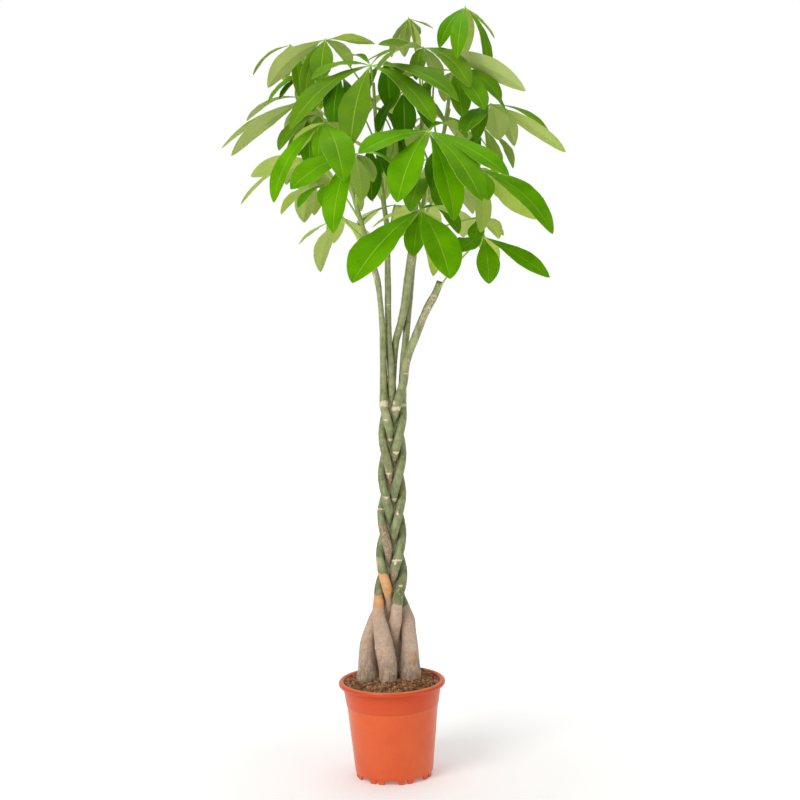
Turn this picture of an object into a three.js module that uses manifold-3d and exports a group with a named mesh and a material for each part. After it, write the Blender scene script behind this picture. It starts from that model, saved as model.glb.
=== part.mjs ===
// Potted money tree: five young stems braided into one trunk, standing in a plastic nursery pot,
// with a crown of hand-shaped compound leaves. Millimetres, +Z up, seen from -Y.
// The origin lies on the surface the pot stands on, under the middle of the whole plant.
import * as THREE from "three";
import { mergeVertices } from "three/addons/utils/BufferGeometryUtils.js";
import Module from "manifold-3d";

const wasm = await Module();
wasm.setup();

// ---- driving dimensions ----
const POT_AXIS = [-32, 0]; // where the pot stands, off the middle of the crown
const GAP = 0.3; // between pieces that touch

const POT_HEIGHT = 219;
const RIM_RADIUS = 120; // outside of the rolled rim
const RIM_ROLL = 6.5; // half the thickness of the rolled rim
const BAND_BOTTOM = 165; // the step under the rim band
const BAND_TOP_RADIUS = 110.5;
const BAND_BOTTOM_RADIUS = 104;
const BODY_TOP_RADIUS = 102.8;
const BODY_BOTTOM_RADIUS = 88;
const WALL = 2.4;
const FLOOR_BOTTOM = 9; // the feet hold the floor this far up
const FLOOR = 2.6;
const POT_SIDES = 32;
const FOOT_PAIRS = 8;
const FOOT_PAIR_BEARING = 17.5; // degrees from the front, of the first pair
const FOOT_SPREAD = 14.4; // degrees between the two feet of a pair
const FOOT_WIDTH = 16;
const DRAIN_RADIUS = 6;
const DRAIN_CIRCLE = 60;

const SOIL_EDGE = 210; // height of the soil at the pot wall
const SOIL_CROWN = 225; // height of the soil round the stems

const BRAID_LENGTH = 450; // height in which a strand makes one whole turn
const BRAID_LEVEL = 405; // height at which the strand phases are given
const BRAID_TAPER_TOP = 640; // above this height the braid keeps its size
const BRAID_HALF_WIDTH = [24.4, 20]; // at the braid's lower end, and above the taper
const BRAID_HALF_DEPTH = [28.5, 23];
const STRAND_RADIUS = [11.5, 9.3];
const BRAID_LINGER = 0.12; // how much longer a strand stays near the middle and the edges
const STEM_SIDES = 8;

const EYE_DISTANCE = 4000; // elevation places are given as seen from this far in front of the axis
const EYE_HEIGHT = 1305;

const BLADE_THICKNESS = 1.6;
const BLADE_FOLD = 0.16; // how far the halves of a leaflet fold up, as a share of its half width
const BLADE_WAVE = 0.045; // height of the edge's waves, as a share of its width
const BLADE_STATIONS = [0.17, 0.42, 0.68, 0.89];
const USUAL_ARCH = 0.12; // how high a leaflet arches over its chord, as a share of its length
const PETIOLE_SIDES = 5;
const PETIOLE_STEPS = 5;
const HUB_OVERRUN = 3; // how far a petiole runs past the point its leaflets spring from
const CLEARANCE = 8; // between leaflets of two leaves

// ---- colours ----
const potPlastic = new THREE.MeshStandardMaterial({ color: 0xe2643e, roughness: 0.42, metalness: 0 });
const soilMix = new THREE.MeshStandardMaterial({ color: 0x6b452c, roughness: 0.95, metalness: 0 });
const stemBark = new THREE.MeshStandardMaterial({ color: 0x8d9a68, roughness: 0.7, metalness: 0 });
const leafGreen = new THREE.MeshStandardMaterial({ color: 0x4f9410, roughness: 0.4, metalness: 0 });

// ---- small vector helpers on plain [x, y, z] lists ----
const plus = (a, b) => [a[0] + b[0], a[1] + b[1], a[2] + b[2]];
const minus = (a, b) => [a[0] - b[0], a[1] - b[1], a[2] - b[2]];
const times = (a, k) => [a[0] * k, a[1] * k, a[2] * k];
const dot = (a, b) => a[0] * b[0] + a[1] * b[1] + a[2] * b[2];
const length = (a) => Math.sqrt(dot(a, a));
const unit = (a) => times(a, 1 / length(a));
const cross = (a, b) => [
  a[1] * b[2] - a[2] * b[1],
  a[2] * b[0] - a[0] * b[2],
  a[0] * b[1] - a[1] * b[0],
];
const mix = (a, b, t) => plus(times(a, 1 - t), times(b, t));
const radians = (degrees) => (degrees * Math.PI) / 180;

// A place given in elevation, moved along the line of sight to its depth y.
function fromElevation([x, y, z]) {
  const spread = 1 + y / EYE_DISTANCE;
  return [x * spread, y, EYE_HEIGHT + (z - EYE_HEIGHT) * spread];
}

// ---- solids ----
function toSolid(geometry) {
  const bare = geometry.clone();
  bare.deleteAttribute("normal");
  bare.deleteAttribute("uv");
  const closed = mergeVertices(bare, 1e-4);
  const mesh = new wasm.Mesh({
    numProp: 3,
    vertProperties: new Float32Array(closed.attributes.position.array),
    triVerts: new Uint32Array(closed.index.array),
  });
  return new wasm.Manifold(mesh);
}

function toGeometry(solid) {
  const mesh = solid.getMesh();
  const geometry = new THREE.BufferGeometry();
  geometry.setAttribute("position", new THREE.BufferAttribute(mesh.vertProperties, 3));
  geometry.setIndex(new THREE.BufferAttribute(mesh.triVerts, 1));
  return geometry;
}

function namedMesh(name, geometry, material) {
  const flat = geometry.toNonIndexed();
  flat.computeVertexNormals();
  const mesh = new THREE.Mesh(flat, material);
  mesh.name = name;
  return mesh;
}

// A closed tube round a path. place(t) gives the point and radius at t from 0 to 1, and side is a
// direction that the path never points along, which the section is set out from.
function tube(place, side, sides, steps) {
  const cylinder = new THREE.CylinderGeometry(1, 1, 1, sides, steps, false);
  const position = cylinder.attributes.position;
  for (let i = 0; i < position.count; i += 1) {
    const t = position.getY(i) + 0.5;
    const { point, radius } = place(t);
    const ahead = place(Math.min(1, t + 0.002)).point;
    const behind = place(Math.max(0, t - 0.002)).point;
    const along = unit(minus(ahead, behind));
    const across = unit(minus(side, times(along, dot(side, along))));
    const third = cross(along, across);
    const offset = plus(times(across, position.getX(i) * radius), times(third, -position.getZ(i) * radius));
    position.setXYZ(i, ...plus(point, offset));
  }
  return cylinder;
}

// ---- stems ----
// Each stem's root ball place, its phase in the braid, and its way from the braid up into the crown,
// in elevation, as [x, depth, height, radius].
const STEMS = [
  {
    phase: 278,
    foot: [[-9, -42, 150, 18], [-8, -42, 217, 19.4], [-8, -42, 243, 20.4], [-12, -41, 275, 20.8],
      [-16.5, -38, 306, 19.6], [-21.5, -35, 337, 17.6], [-26, -26, 368, 14.2]],
    shoot: [[1, -5, 880, 9], [1, -4, 940, 7.5], [1, -2, 1010, 6.2], [-1, 0, 1058, 6],
      [-5, 0, 1105, 6.5], [-11, -2, 1135, 6.5], [-23, -6, 1185, 6], [-33, -10, 1225, 5.5],
      [-44, -14, 1265, 5],
      [-54, -18, 1305, 4.8], [-66, -20, 1355, 4.5], [-78, -14, 1415, 4.2], [-88, -6, 1465, 3.8],
      [-94, 0, 1505, 3]],
  },
  {
    phase: 350,
    foot: [[-34, 44, 150, 19], [-32, 43, 217, 22], [-31, 42, 245, 20], [-15, 38, 300, 15.5],
      [-6, 27, 335, 13], [-1.5, 4, 370, 11.6]],
    shoot: [[19, -8, 880, 9], [17, 0, 930, 8], [14.5, 8, 980, 7.2], [14.5, 12, 1035, 7], [16, 14, 1105, 7],
      [17, 22, 1175, 6.5], [17, 34, 1235, 6], [12, 44, 1285, 5.5], [7, 50, 1340, 5], [3, 55, 1410, 4.6],
      [-1, 58, 1480, 4], [-3, 60, 1545, 3]],
  },
  {
    phase: 206,
    foot: [[-55, -8, 150, 21], [-54, -9, 217, 25.2], [-53.5, -9, 242, 21.5], [-54, -8, 274, 18.8],
      [-52, -5, 306, 16.2], [-43.5, 0, 338, 13.4], [-30.5, 12, 370, 12]],
    shoot: [[19, 17, 890, 8.5], [25, 18, 945, 8], [31, 15, 985, 8], [42, 6, 1020, 8.3], [51, 0, 1060, 8.6],
      [58, -4, 1105, 8.8], [66, -8, 1150, 8.8], [71, -10, 1185, 8.4], [76, -8, 1230, 7], [83, -4, 1290, 6],
      [92, 0, 1370, 5.2], [99, 4, 1450, 4.4], [104, 8, 1525, 3.2]],
  },
  {
    phase: 62,
    foot: [[38, -14, 150, 22], [38.5, -14, 219, 27.4], [40, -13, 246, 24.4], [42, -11, 270, 21],
      [42.4, -8, 302, 17.8], [39.8, -2, 334, 16.8], [39.5, 2, 358, 13.4]],
    shoot: [[42, 14, 885, 8.5], [46, 13, 940, 8], [52, 14, 985, 7.8], [57, 17, 1030, 7.6],
      [63, 21, 1080, 7.4], [70, 25, 1140, 7.2], [80, 29, 1200, 6.8], [96, 34, 1270, 6.2],
      [120, 42, 1350, 5.4], [143, 50, 1420, 4.6], [160, 55, 1485, 3.4]],
  },
  {
    phase: 134,
    foot: [[20, 42, 150, 18], [18, 40, 225, 20], [16, 34, 266, 17.5], [14, 20, 300, 15],
      [8.3, -9.5, 334, 13.3], [13, -26, 360, 13]],
    shoot: [[43, -17, 885, 9.8], [49, -14, 925, 9.6], [59, -12, 957, 9.2], [70, -12, 982, 9],
      [81, -13, 1008, 8.8],
      [93, -14, 1035, 8.6], [105, -15, 1059, 9.2], [117, -16, 1078, 8.4], [126, -17, 1097, 8],
      [131, -18, 1110, 7.6]],
  },
];

// The middle line of the braided bundle, in elevation, by height.
function braidCentre(height) {
  const lean = (height - BRAID_LEVEL) / BRAID_LENGTH;
  return 3 + 17 * lean;
}

// A strand runs a flat figure of eight: out to an edge behind, and back to the middle in front.
function braidPoint(phase, height) {
  const turn = radians(phase + ((BRAID_LEVEL - height) / BRAID_LENGTH) * 360);
  const below = Math.max(0, (BRAID_TAPER_TOP - height) / (BRAID_TAPER_TOP - BRAID_LEVEL));
  const [width, depth, radius] = [BRAID_HALF_WIDTH, BRAID_HALF_DEPTH, STRAND_RADIUS].map(
    ([lower, upper]) => upper + (lower - upper) * below ** 1.5,
  );
  const x = braidCentre(height) + width * (Math.sin(turn) - BRAID_LINGER * Math.sin(3 * turn));
  const y = depth * Math.sin(2 * turn);
  return [x, y, height, radius];
}

function stemPlaces(stem) {
  const braid = [];
  for (let height = 405; height <= 840; height += 29) {
    braid.push(braidPoint(stem.phase, height));
  }
  return [...stem.foot, ...braid, ...stem.shoot];
}

// Smooth curve through the places, as a function of t.
function curveThrough(places) {
  const points = places.map((p) => new THREE.Vector3(...fromElevation(p)));
  const curve = new THREE.CatmullRomCurve3(points, false, "catmullrom", 0.5);
  return (t) => {
    const index = Math.min(places.length - 1.0001, t * (places.length - 1));
    const low = Math.floor(index);
    const radius = places[low][3] + (places[low + 1][3] - places[low][3]) * (index - low);
    return { point: curve.getPoint(t).toArray(), radius };
  };
}

function stemGeometry(place, places, inflate) {
  const grown = (t) => {
    const { point, radius } = place(t);
    return { point, radius: radius + inflate };
  };
  return tube(grown, [1, 0, 0], STEM_SIDES, places.length - 1);
}

const stems = STEMS.map((stem, i) => {
  const places = stemPlaces(stem);
  const place = curveThrough(places);
  return { name: `stem_${i + 1}`, places, place, geometry: stemGeometry(place, places, 0) };
});

// ---- the pot ----
function potProfile() {
  const floorTop = FLOOR_BOTTOM + FLOOR;
  const lip = POT_HEIGHT - RIM_ROLL;
  const ring = RIM_RADIUS - RIM_ROLL;
  const outer = [
    [0, FLOOR_BOTTOM],
    [BODY_BOTTOM_RADIUS - 5, FLOOR_BOTTOM],
    [BODY_BOTTOM_RADIUS, FLOOR_BOTTOM + 4],
    [BODY_TOP_RADIUS, BAND_BOTTOM - 1],
    [BAND_BOTTOM_RADIUS, BAND_BOTTOM],
    [BAND_TOP_RADIUS, lip - RIM_ROLL + 1],
  ];
  const roll = [-50, 0, 50, 100, 160].map((angle) => [
    ring + RIM_ROLL * Math.cos(radians(angle)),
    lip + RIM_ROLL * Math.sin(radians(angle)),
  ]);
  const inner = [
    [BAND_TOP_RADIUS - WALL, lip - RIM_ROLL],
    [BAND_BOTTOM_RADIUS - WALL, BAND_BOTTOM + 1],
    [BODY_TOP_RADIUS - WALL, BAND_BOTTOM - 2],
    [BODY_BOTTOM_RADIUS - WALL, floorTop + 3],
    [BODY_BOTTOM_RADIUS - WALL - 3, floorTop],
    [0, floorTop],
  ];
  return [...outer, ...roll, ...inner].map(([r, z]) => new THREE.Vector2(r, z));
}

// Turns a lathe geometry, which spins about Y, to stand on Z.
function latheUp(profile, sides) {
  const geometry = new THREE.LatheGeometry(profile, sides);
  geometry.rotateX(Math.PI / 2);
  return geometry;
}

// One foot: a lug under the wall, narrower at its lower edge.
function footGeometry(bearing) {
  const half = FOOT_WIDTH / 2;
  const outline = new THREE.Shape();
  outline.moveTo(-half, FLOOR_BOTTOM + 1.4);
  outline.lineTo(-half + 0.6, 2.5);
  outline.lineTo(-half + 3, 0);
  outline.lineTo(half - 3, 0);
  outline.lineTo(half - 0.6, 2.5);
  outline.lineTo(half, FLOOR_BOTTOM + 1.4);
  outline.closePath();
  const foot = new THREE.ExtrudeGeometry(outline, { depth: 5, bevelEnabled: false });
  foot.rotateX(Math.PI / 2);
  foot.translate(0, -(BODY_BOTTOM_RADIUS - 7), 0);
  foot.rotateZ(radians(bearing));
  return foot;
}

function potGeometry() {
  let pot = toSolid(latheUp(potProfile(), POT_SIDES));
  for (let pair = 0; pair < FOOT_PAIRS; pair += 1) {
    const middle = FOOT_PAIR_BEARING + (pair * 360) / FOOT_PAIRS;
    for (const side of [-0.5, 0.5]) {
      pot = pot.add(toSolid(footGeometry(middle + side * FOOT_SPREAD)));
    }
    const drain = new THREE.CylinderGeometry(DRAIN_RADIUS, DRAIN_RADIUS, 3 * FLOOR, 6);
    drain.rotateX(Math.PI / 2);
    drain.translate(0, -DRAIN_CIRCLE, FLOOR_BOTTOM + FLOOR / 2);
    drain.rotateZ(radians(middle));
    pot = pot.subtract(toSolid(drain));
  }
  return toGeometry(pot);
}

// ---- the soil ----
// The top is lumpy: a sum of slow waves that dies out at the wall.
function soilHeight(x, y) {
  const out = Math.min(1, Math.hypot(x, y) / (BAND_TOP_RADIUS - WALL));
  const mound = SOIL_EDGE + (SOIL_CROWN - SOIL_EDGE) * (1 - out ** 3);
  const lumps = Math.sin(x * 0.09 + 1) * Math.cos(y * 0.11) + 0.6 * Math.sin(x * 0.17 - y * 0.14);
  return mound + 2.2 * lumps * (1 - out ** 6);
}

function soilGeometry() {
  const floorTop = FLOOR_BOTTOM + FLOOR + GAP;
  const wall = WALL + GAP;
  const profile = [
    [0, floorTop],
    [BODY_BOTTOM_RADIUS - wall - 3.2, floorTop],
    [BODY_BOTTOM_RADIUS - wall, floorTop + 3.2],
    [BODY_TOP_RADIUS - wall, BAND_BOTTOM - 2.5],
    [BAND_BOTTOM_RADIUS - wall - 0.4, BAND_BOTTOM + 2],
    [BAND_TOP_RADIUS - wall - 0.8, SOIL_EDGE],
    [88, SOIL_EDGE + 4],
    [70, SOIL_EDGE + 8],
    [50, SOIL_EDGE + 12],
    [28, SOIL_EDGE + 16],
    [0, SOIL_CROWN],
  ].map(([r, z]) => new THREE.Vector2(r, z));
  const body = latheUp(profile, POT_SIDES);
  const position = body.attributes.position;
  for (let i = 0; i < position.count; i += 1) {
    const x = position.getX(i);
    const y = position.getY(i);
    if (position.getZ(i) >= SOIL_EDGE - 0.01) {
      position.setZ(i, soilHeight(x, y));
    }
  }
  let soil = toSolid(body);
  for (const stem of stems) {
    soil = soil.subtract(toSolid(stemGeometry(stem.place, stem.places, GAP)));
  }
  return toGeometry(soil);
}

// ---- the leaves ----
// Each leaf: the stem and height it grows from, its hub, and the tip of every leaflet as
// [x, depth, height, width, arch, roll in degrees], all in elevation. A leaflet's tip may be moved
// in depth to clear its neighbours, which leaves its place in elevation as it is.
const FRONT_LEAVES = [
  {
    stem: 2,
    at: 1440,
    hub: [-8, -100, 1582],
    tips: [
      [-137, -140, 1556, 50, 0.12, 15], [-188, -215, 1450, 54, 0.1, 25],
      [-57, -215, 1408, 70, 0.1], [126, -200, 1455, 66, 0.1, -15],
      [181, -160, 1500, 56, 0.12, -25], [62, -60, 1612, 32], [-60, -20, 1600, 36],
    ],
  },
  {
    stem: 3,
    at: 1330,
    hub: [112, -215, 1438],
    tips: [
      [-40, -300, 1393, 56, 0.06, 30], [42, -325, 1285, 74, 0.08, 10],
      [226, -325, 1283, 74, 0.08, -10], [287, -270, 1336, 56, 0.05, -30],
      [165, -290, 1242, 66, 0.08], [70, -90, 1400, 40], [175, -100, 1440, 40],
    ],
  },
  {
    stem: 3,
    at: 1300,
    hub: [92, -200, 1268],
    tips: [
      [-62, -345, 1112, 98, 0.06, 12], [153, -310, 1115, 88, 0.08], [74, -235, 1166, 50, 0.04],
      [116, -170, 1122, 44], [176, -150, 1146, 36], [-14, -180, 1232, 46, 0.08],
      [165, -120, 1252, 38],
    ],
  },
  {
    stem: 1,
    at: 1280,
    hub: [-48, -205, 1393],
    tips: [
      [-100, -280, 1222, 62], [-190, -270, 1320, 60, 0.08, 40], [32, -240, 1370, 36],
      [-36, -150, 1290, 42], [-10, -120, 1330, 36],
    ],
  },
  {
    stem: 1,
    at: 1330,
    hub: [-113, -160, 1462],
    tips: [
      [-228, -215, 1292, 54, 0.12, 20], [-74, -255, 1335, 70], [-128, -215, 1376, 30],
      [-176, -60, 1395, 44], [-70, -40, 1410, 44],
    ],
  },
  {
    stem: 4,
    at: 1290,
    hub: [215, -140, 1354],
    tips: [
      [380, -190, 1207, 66, 0.11, -30], [345, -70, 1240, 72, 0.06, 42], [240, -210, 1284, 42],
      [222, -130, 1215, 44], [262, 10, 1290, 42],
    ],
  },
  {
    stem: 5,
    at: 1066,
    hub: [228, -70, 1206],
    tips: [
      [372, -90, 1112, 42, 0.03, -50], [238, -110, 1102, 52, 0.1], [172, -150, 1172, 60, 0.05, 15],
      [250, 60, 1130, 40],
    ],
  },
  {
    stem: 3,
    at: 1470,
    hub: [107, -20, 1617],
    tips: [
      [10, 10, 1626, 44, 0.03, -20], [-18, -70, 1590, 38, 0.08], [6, -130, 1570, 50, 0.08, -25],
      [90, -120, 1548, 36], [140, 60, 1535, 38], [327, -80, 1518, 52, 0.06, 55],
      [206, -130, 1530, 54, 0.12, -20],
    ],
  },
  {
    stem: 4,
    at: 1472,
    hub: [200, 20, 1700],
    tips: [
      [142, -50, 1615, 32, 0.1, 25], [180, -70, 1592, 38, 0.1], [243, -40, 1550, 36, 0.14],
      [262, 30, 1632, 28, 0.05], [200, 170, 1600, 40, 0.14],
    ],
  },
  {
    stem: 3,
    at: 1490,
    hub: [77, 10, 1680],
    tips: [
      [38, -60, 1598, 34, 0.1, 15], [66, -70, 1598, 28], [92, -60, 1604, 26],
      [101, 30, 1645, 20, 0.05], [130, 20, 1657, 18, 0.02], [68, 90, 1622, 28],
    ],
  },
  {
    stem: 2,
    at: 1500,
    hub: [-103, -30, 1640],
    tips: [
      [-232, -50, 1540, 50, 0.1, -55], [-116, -130, 1552, 52], [-152, -80, 1512, 36, 0.12, 60],
      [2, -60, 1628, 40, 0.04, 25], [-52, 50, 1580, 40], [-176, 110, 1560, 40],
    ],
  },
  {
    stem: 1,
    at: 1470,
    hub: [-180, 20, 1630],
    tips: [
      [-263, 40, 1568, 30], [-166, -30, 1520, 34], [-214, -30, 1568, 28, 0.08, -30],
      [-140, 70, 1570, 32], [-195, 110, 1550, 34],
    ],
  },
  {
    stem: 1,
    at: 1440,
    hub: [-146, 0, 1514],
    tips: [
      [-337, 50, 1413, 34, 0.06, -8], [-317, -60, 1396, 48, 0.06, -50], [-281, 110, 1470, 34],
      [-178, 90, 1412, 62], [-130, 130, 1420, 44],
    ],
  },
  {
    stem: 4,
    at: 1370,
    hub: [250, -20, 1492],
    tips: [
      [412, -70, 1384, 42, 0.03, 50], [388, -40, 1394, 30, 0.16, -20], [266, 60, 1414, 56],
      [194, -130, 1432, 58, 0.08], [219, -60, 1412, 42], [300, 150, 1400, 44],
    ],
  },
  {
    stem: 4,
    at: 1425,
    hub: [172, -60, 1566],
    tips: [
      [188, -110, 1466, 48, 0.08], [237, -130, 1480, 52, 0.08, -20],
      [272, -70, 1496, 46, 0.16, -35], [284, 10, 1470, 44, 0.12, -20],
      [46, -120, 1552, 28, 0.06, -30], [150, 60, 1500, 40],
    ],
  },
  {
    stem: 1,
    at: 1240,
    hub: [-132, 10, 1378],
    tips: [
      [-276, -10, 1350, 42, 0.08, -65], [-300, 80, 1290, 34], [-163, 70, 1247, 56, 0.08],
      [-200, 130, 1330, 44], [-110, 120, 1300, 44],
    ],
  },
  {
    stem: 1,
    at: 1180,
    hub: [-84, 10, 1256],
    tips: [
      [-176, 40, 1200, 30, 0.06], [-131, 60, 1138, 48], [-20, 110, 1170, 42],
      [-100, 130, 1200, 42],
    ],
  },
  {
    stem: 4,
    at: 1200,
    hub: [222, 30, 1248],
    tips: [
      [272, 70, 1206, 22], [184, 90, 1205, 46], [212, -20, 1192, 40], [262, 130, 1200, 38],
    ],
  },
  {
    stem: 4,
    at: 1250,
    hub: [104, -60, 1335],
    tips: [
      [70, -110, 1264, 52], [142, -100, 1256, 52], [180, -10, 1290, 44], [60, 20, 1290, 44],
    ],
  },
  {
    stem: 3,
    at: 1400,
    hub: [62, -50, 1524],
    tips: [
      [5, -90, 1436, 48], [62, -130, 1424, 52], [118, -110, 1440, 50], [150, -20, 1450, 44],
    ],
  },
  {
    stem: 2,
    at: 1300,
    hub: [-18, -30, 1408],
    tips: [
      [-56, -80, 1296, 46], [-14, -100, 1290, 48], [34, -60, 1312, 46], [-80, 10, 1330, 42],
    ],
  },
  {
    stem: 2,
    at: 1400,
    hub: [-72, -10, 1562],
    tips: [
      [-136, -60, 1486, 44], [-92, -90, 1452, 48], [-44, -60, 1446, 46], [-100, 80, 1480, 44],
    ],
  },
  {
    stem: 4,
    at: 1310,
    hub: [152, -50, 1408],
    tips: [
      [118, -90, 1310, 46], [176, -100, 1306, 50], [216, -40, 1336, 46], [140, 50, 1320, 44],
    ],
  },
  {
    stem: 2,
    at: 1440,
    hub: [22, 20, 1592],
    tips: [
      [-18, -10, 1498, 46], [30, -40, 1486, 50], [80, -10, 1500, 46], [60, 90, 1530, 42],
    ],
  },
  {
    stem: 4,
    at: 1400,
    hub: [132, 30, 1562],
    tips: [
      [104, -30, 1470, 46], [165, -30, 1462, 48], [196, 30, 1480, 44], [120, 110, 1490, 42],
    ],
  },
  {
    stem: 2,
    at: 1340,
    hub: [0, 30, 1494],
    tips: [
      [-38, -30, 1414, 46], [14, -40, 1396, 50], [60, -10, 1410, 46], [-50, 90, 1430, 42],
    ],
  },
  {
    stem: 3,
    at: 1280,
    hub: [44, 20, 1450],
    tips: [
      [12, -20, 1350, 46], [60, -40, 1340, 48], [98, 30, 1360, 44], [30, 110, 1370, 42],
    ],
  },
  {
    stem: 1,
    at: 1300,
    hub: [-150, 60, 1470],
    tips: [
      [-192, 20, 1376, 44], [-146, 0, 1362, 46], [-106, 50, 1376, 44], [-170, 140, 1392, 42],
    ],
  },
  {
    stem: 4,
    at: 1330,
    hub: [232, 70, 1444],
    tips: [
      [204, 30, 1340, 46], [256, 10, 1336, 48], [296, 70, 1352, 44],
    ],
  },
];

// The leaves on the far side of the crown follow a rule: hubs set round the stems at stepped
// bearings and heights, each with a drooping fan of five leaflets.
const BACK_LEAVES = 12;
const FAN = [-100, -50, 0, 50, 100];

function backLeaf(i) {
  const bearing = radians(12 + 157 * ((i * 0.7549 + 0.2) % 1));
  const level = 1250 + 340 * ((i * 0.5698 + 0.1) % 1);
  const reach = 120 + 60 * Math.abs(Math.sin(i * 2.4));
  const hub = [30 + reach * Math.cos(bearing), 30 + reach * Math.sin(bearing), level];
  const size = 150 + 35 * Math.sin(i * 1.7 + 1);
  const tips = FAN.map((turn, k) => {
    const heading = bearing + radians(turn + 8 * Math.sin(i + 2 * k));
    const long = size * (1 - 0.0028 * Math.abs(turn));
    const out = long * 0.8;
    const drop = long * (0.55 + 0.12 * Math.sin(i * 3 + k));
    return [hub[0] + out * Math.cos(heading), hub[1] + out * Math.sin(heading), level - drop, long * 0.31];
  });
  const stem = hub[0] < -40 ? 1 : hub[0] < 60 ? 2 : 4;
  return { stem, at: Math.min(level - 90, 1450) - 9 * (i % 5), hub, tips };
}

// Half the width of a leaflet, as a share of its greatest, at t from root to tip.
function bladeOutline(t) {
  const body = Math.sin(Math.PI * t ** 1.42) ** 0.72;
  return body * (1 - 0.6 * (1 - t) ** 4);
}

// The frame of a leaflet at t: a point on its midrib, the way across it and the way out of its face.
function bladeFrame(leaflet, t) {
  const { root, tip, arch, roll } = leaflet;
  const chord = minus(tip, root);
  const flat = Math.hypot(chord[0], chord[1]);
  const sideways = [chord[1] / flat, -chord[0] / flat, 0];
  const rise = cross(sideways, unit(chord));
  const control = plus(mix(root, tip, 0.5), times(rise, 2 * arch * length(chord)));
  const point = mix(mix(root, control, t), mix(control, tip, t), t);
  const along = unit(minus(mix(control, tip, t), mix(root, control, t)));
  const face = cross(sideways, along);
  const turn = radians(roll);
  return {
    point,
    across: plus(times(sideways, Math.cos(turn)), times(face, Math.sin(turn))),
    out: plus(times(face, Math.cos(turn)), times(sideways, -Math.sin(turn))),
  };
}

// A point of the leaflet at t along it and s across it, from -1 at one edge to 1 at the other.
function bladePoint(leaflet, t, s, lift) {
  const { point, across, out } = bladeFrame(leaflet, t);
  const half = 0.5 * leaflet.width * bladeOutline(t);
  const wave = BLADE_WAVE * leaflet.width * Math.sin(8 * t + leaflet.seed + 2 * Math.sign(s));
  const raise = Math.abs(s) * (BLADE_FOLD * half + wave * Math.sin(Math.PI * t)) + lift;
  return plus(plus(point, times(across, s * half)), times(out, raise));
}

// A thin leaflet with a lens-shaped section: an upper and a lower midrib between two sharp edges.
// Both faces are split into triangles alike.
function bladeGeometry(leaflet) {
  const lift = BLADE_THICKNESS / 2;
  const points = [bladePoint(leaflet, 0, 0, 0)];
  for (const t of BLADE_STATIONS) {
    points.push(bladePoint(leaflet, t, -1, 0), bladePoint(leaflet, t, 0, lift));
    points.push(bladePoint(leaflet, t, 1, 0), bladePoint(leaflet, t, 0, -lift));
  }
  points.push(bladePoint(leaflet, 1, 0, 0));
  const last = points.length - 1;
  const index = [];
  for (let k = 0; k < 4; k += 1) {
    const next = (k + 1) % 4;
    index.push(0, 1 + next, 1 + k);
    index.push(last, last - 4 + k, last - 4 + next);
  }
  for (let row = 0; row < BLADE_STATIONS.length - 1; row += 1) {
    const [left, top, right, under] = [1, 2, 3, 4].map((k) => k + 4 * row);
    for (const [a, b] of [[left, top], [top, right], [right, under], [under, left]]) {
      const ribFirst = a === top || a === under;
      if (ribFirst) {
        index.push(a, b, a + 4, b, b + 4, a + 4);
      } else {
        index.push(a, b, b + 4, a, b + 4, a + 4);
      }
    }
  }
  const geometry = new THREE.BufferGeometry();
  geometry.setAttribute("position", new THREE.Float32BufferAttribute(points.flat(), 3));
  geometry.setIndex(index);
  return geometry;
}

// ---- keeping the leaves clear of each other ----
const placed = []; // what stands in the crown already: points, how thick they are, and whose they are

function addObstacle(points, radius, owner) {
  const low = [0, 1, 2].map((k) => Math.min(...points.map((p) => p[k])) - radius);
  const high = [0, 1, 2].map((k) => Math.max(...points.map((p) => p[k])) + radius);
  placed.push({ points, radius, owner, low, high });
}

// The least distance from these points to anything placed that isn't the owner's, up to 40.
function clearance(points, owner, ignore) {
  const reach = 40;
  let least = reach;
  const low = [0, 1, 2].map((k) => Math.min(...points.map((p) => p[k])) - reach);
  const high = [0, 1, 2].map((k) => Math.max(...points.map((p) => p[k])) + reach);
  for (const other of placed) {
    const apart = [0, 1, 2].some((k) => other.low[k] > high[k] || other.high[k] < low[k]);
    if (apart || other.owner === owner || other.owner === ignore) {
      continue;
    }
    for (const p of points) {
      for (const q of other.points) {
        least = Math.min(least, length(minus(p, q)) - other.radius);
      }
    }
  }
  return least;
}

function bladeSamples(leaflet) {
  const rows = Math.ceil(length(minus(leaflet.tip, leaflet.root)) / 9);
  const samples = [];
  for (let row = 1; row <= rows; row += 1) {
    const t = row / rows;
    const half = 0.5 * leaflet.width * bladeOutline(Math.min(t, 0.999));
    const columns = Math.ceil(half / 9);
    for (let column = -columns; column <= columns; column += 1) {
      samples.push(bladePoint(leaflet, t, column / Math.max(columns, 1), 0));
    }
  }
  return samples;
}

const DEPTH_STEPS = [0, -12, 12, -24, 24, -40, 40, -60, 60, -85, 85, -110, 110];

// Bends a leaflet's tip nearer or further, in steps, until it is clear of the leaves already placed.
function bentClear(root, tip, seed, owner) {
  const [x, y, z, width, arch = USUAL_ARCH, roll = 0] = tip;
  let best = null;
  for (const step of DEPTH_STEPS) {
    const leaflet = { root, tip: fromElevation([x, y + step, z]), width, arch, roll, seed };
    const samples = bladeSamples(leaflet);
    const room = clearance(samples, owner, null);
    if (best === null || room > best.room) {
      best = { leaflet, samples, room };
    }
    if (room >= CLEARANCE) {
      break;
    }
  }
  return best;
}

// ---- petioles ----
const SIDE_STEPS = [0, 20, -20, 45, -45, 70, -70];

function stemAtHeight(stem, height) {
  let low = 0;
  let high = 1;
  for (let i = 0; i < 40; i += 1) {
    const middle = (low + high) / 2;
    if (stem.place(middle).point[2] < height) {
      low = middle;
    } else {
      high = middle;
    }
  }
  return stem.place(low);
}

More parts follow.
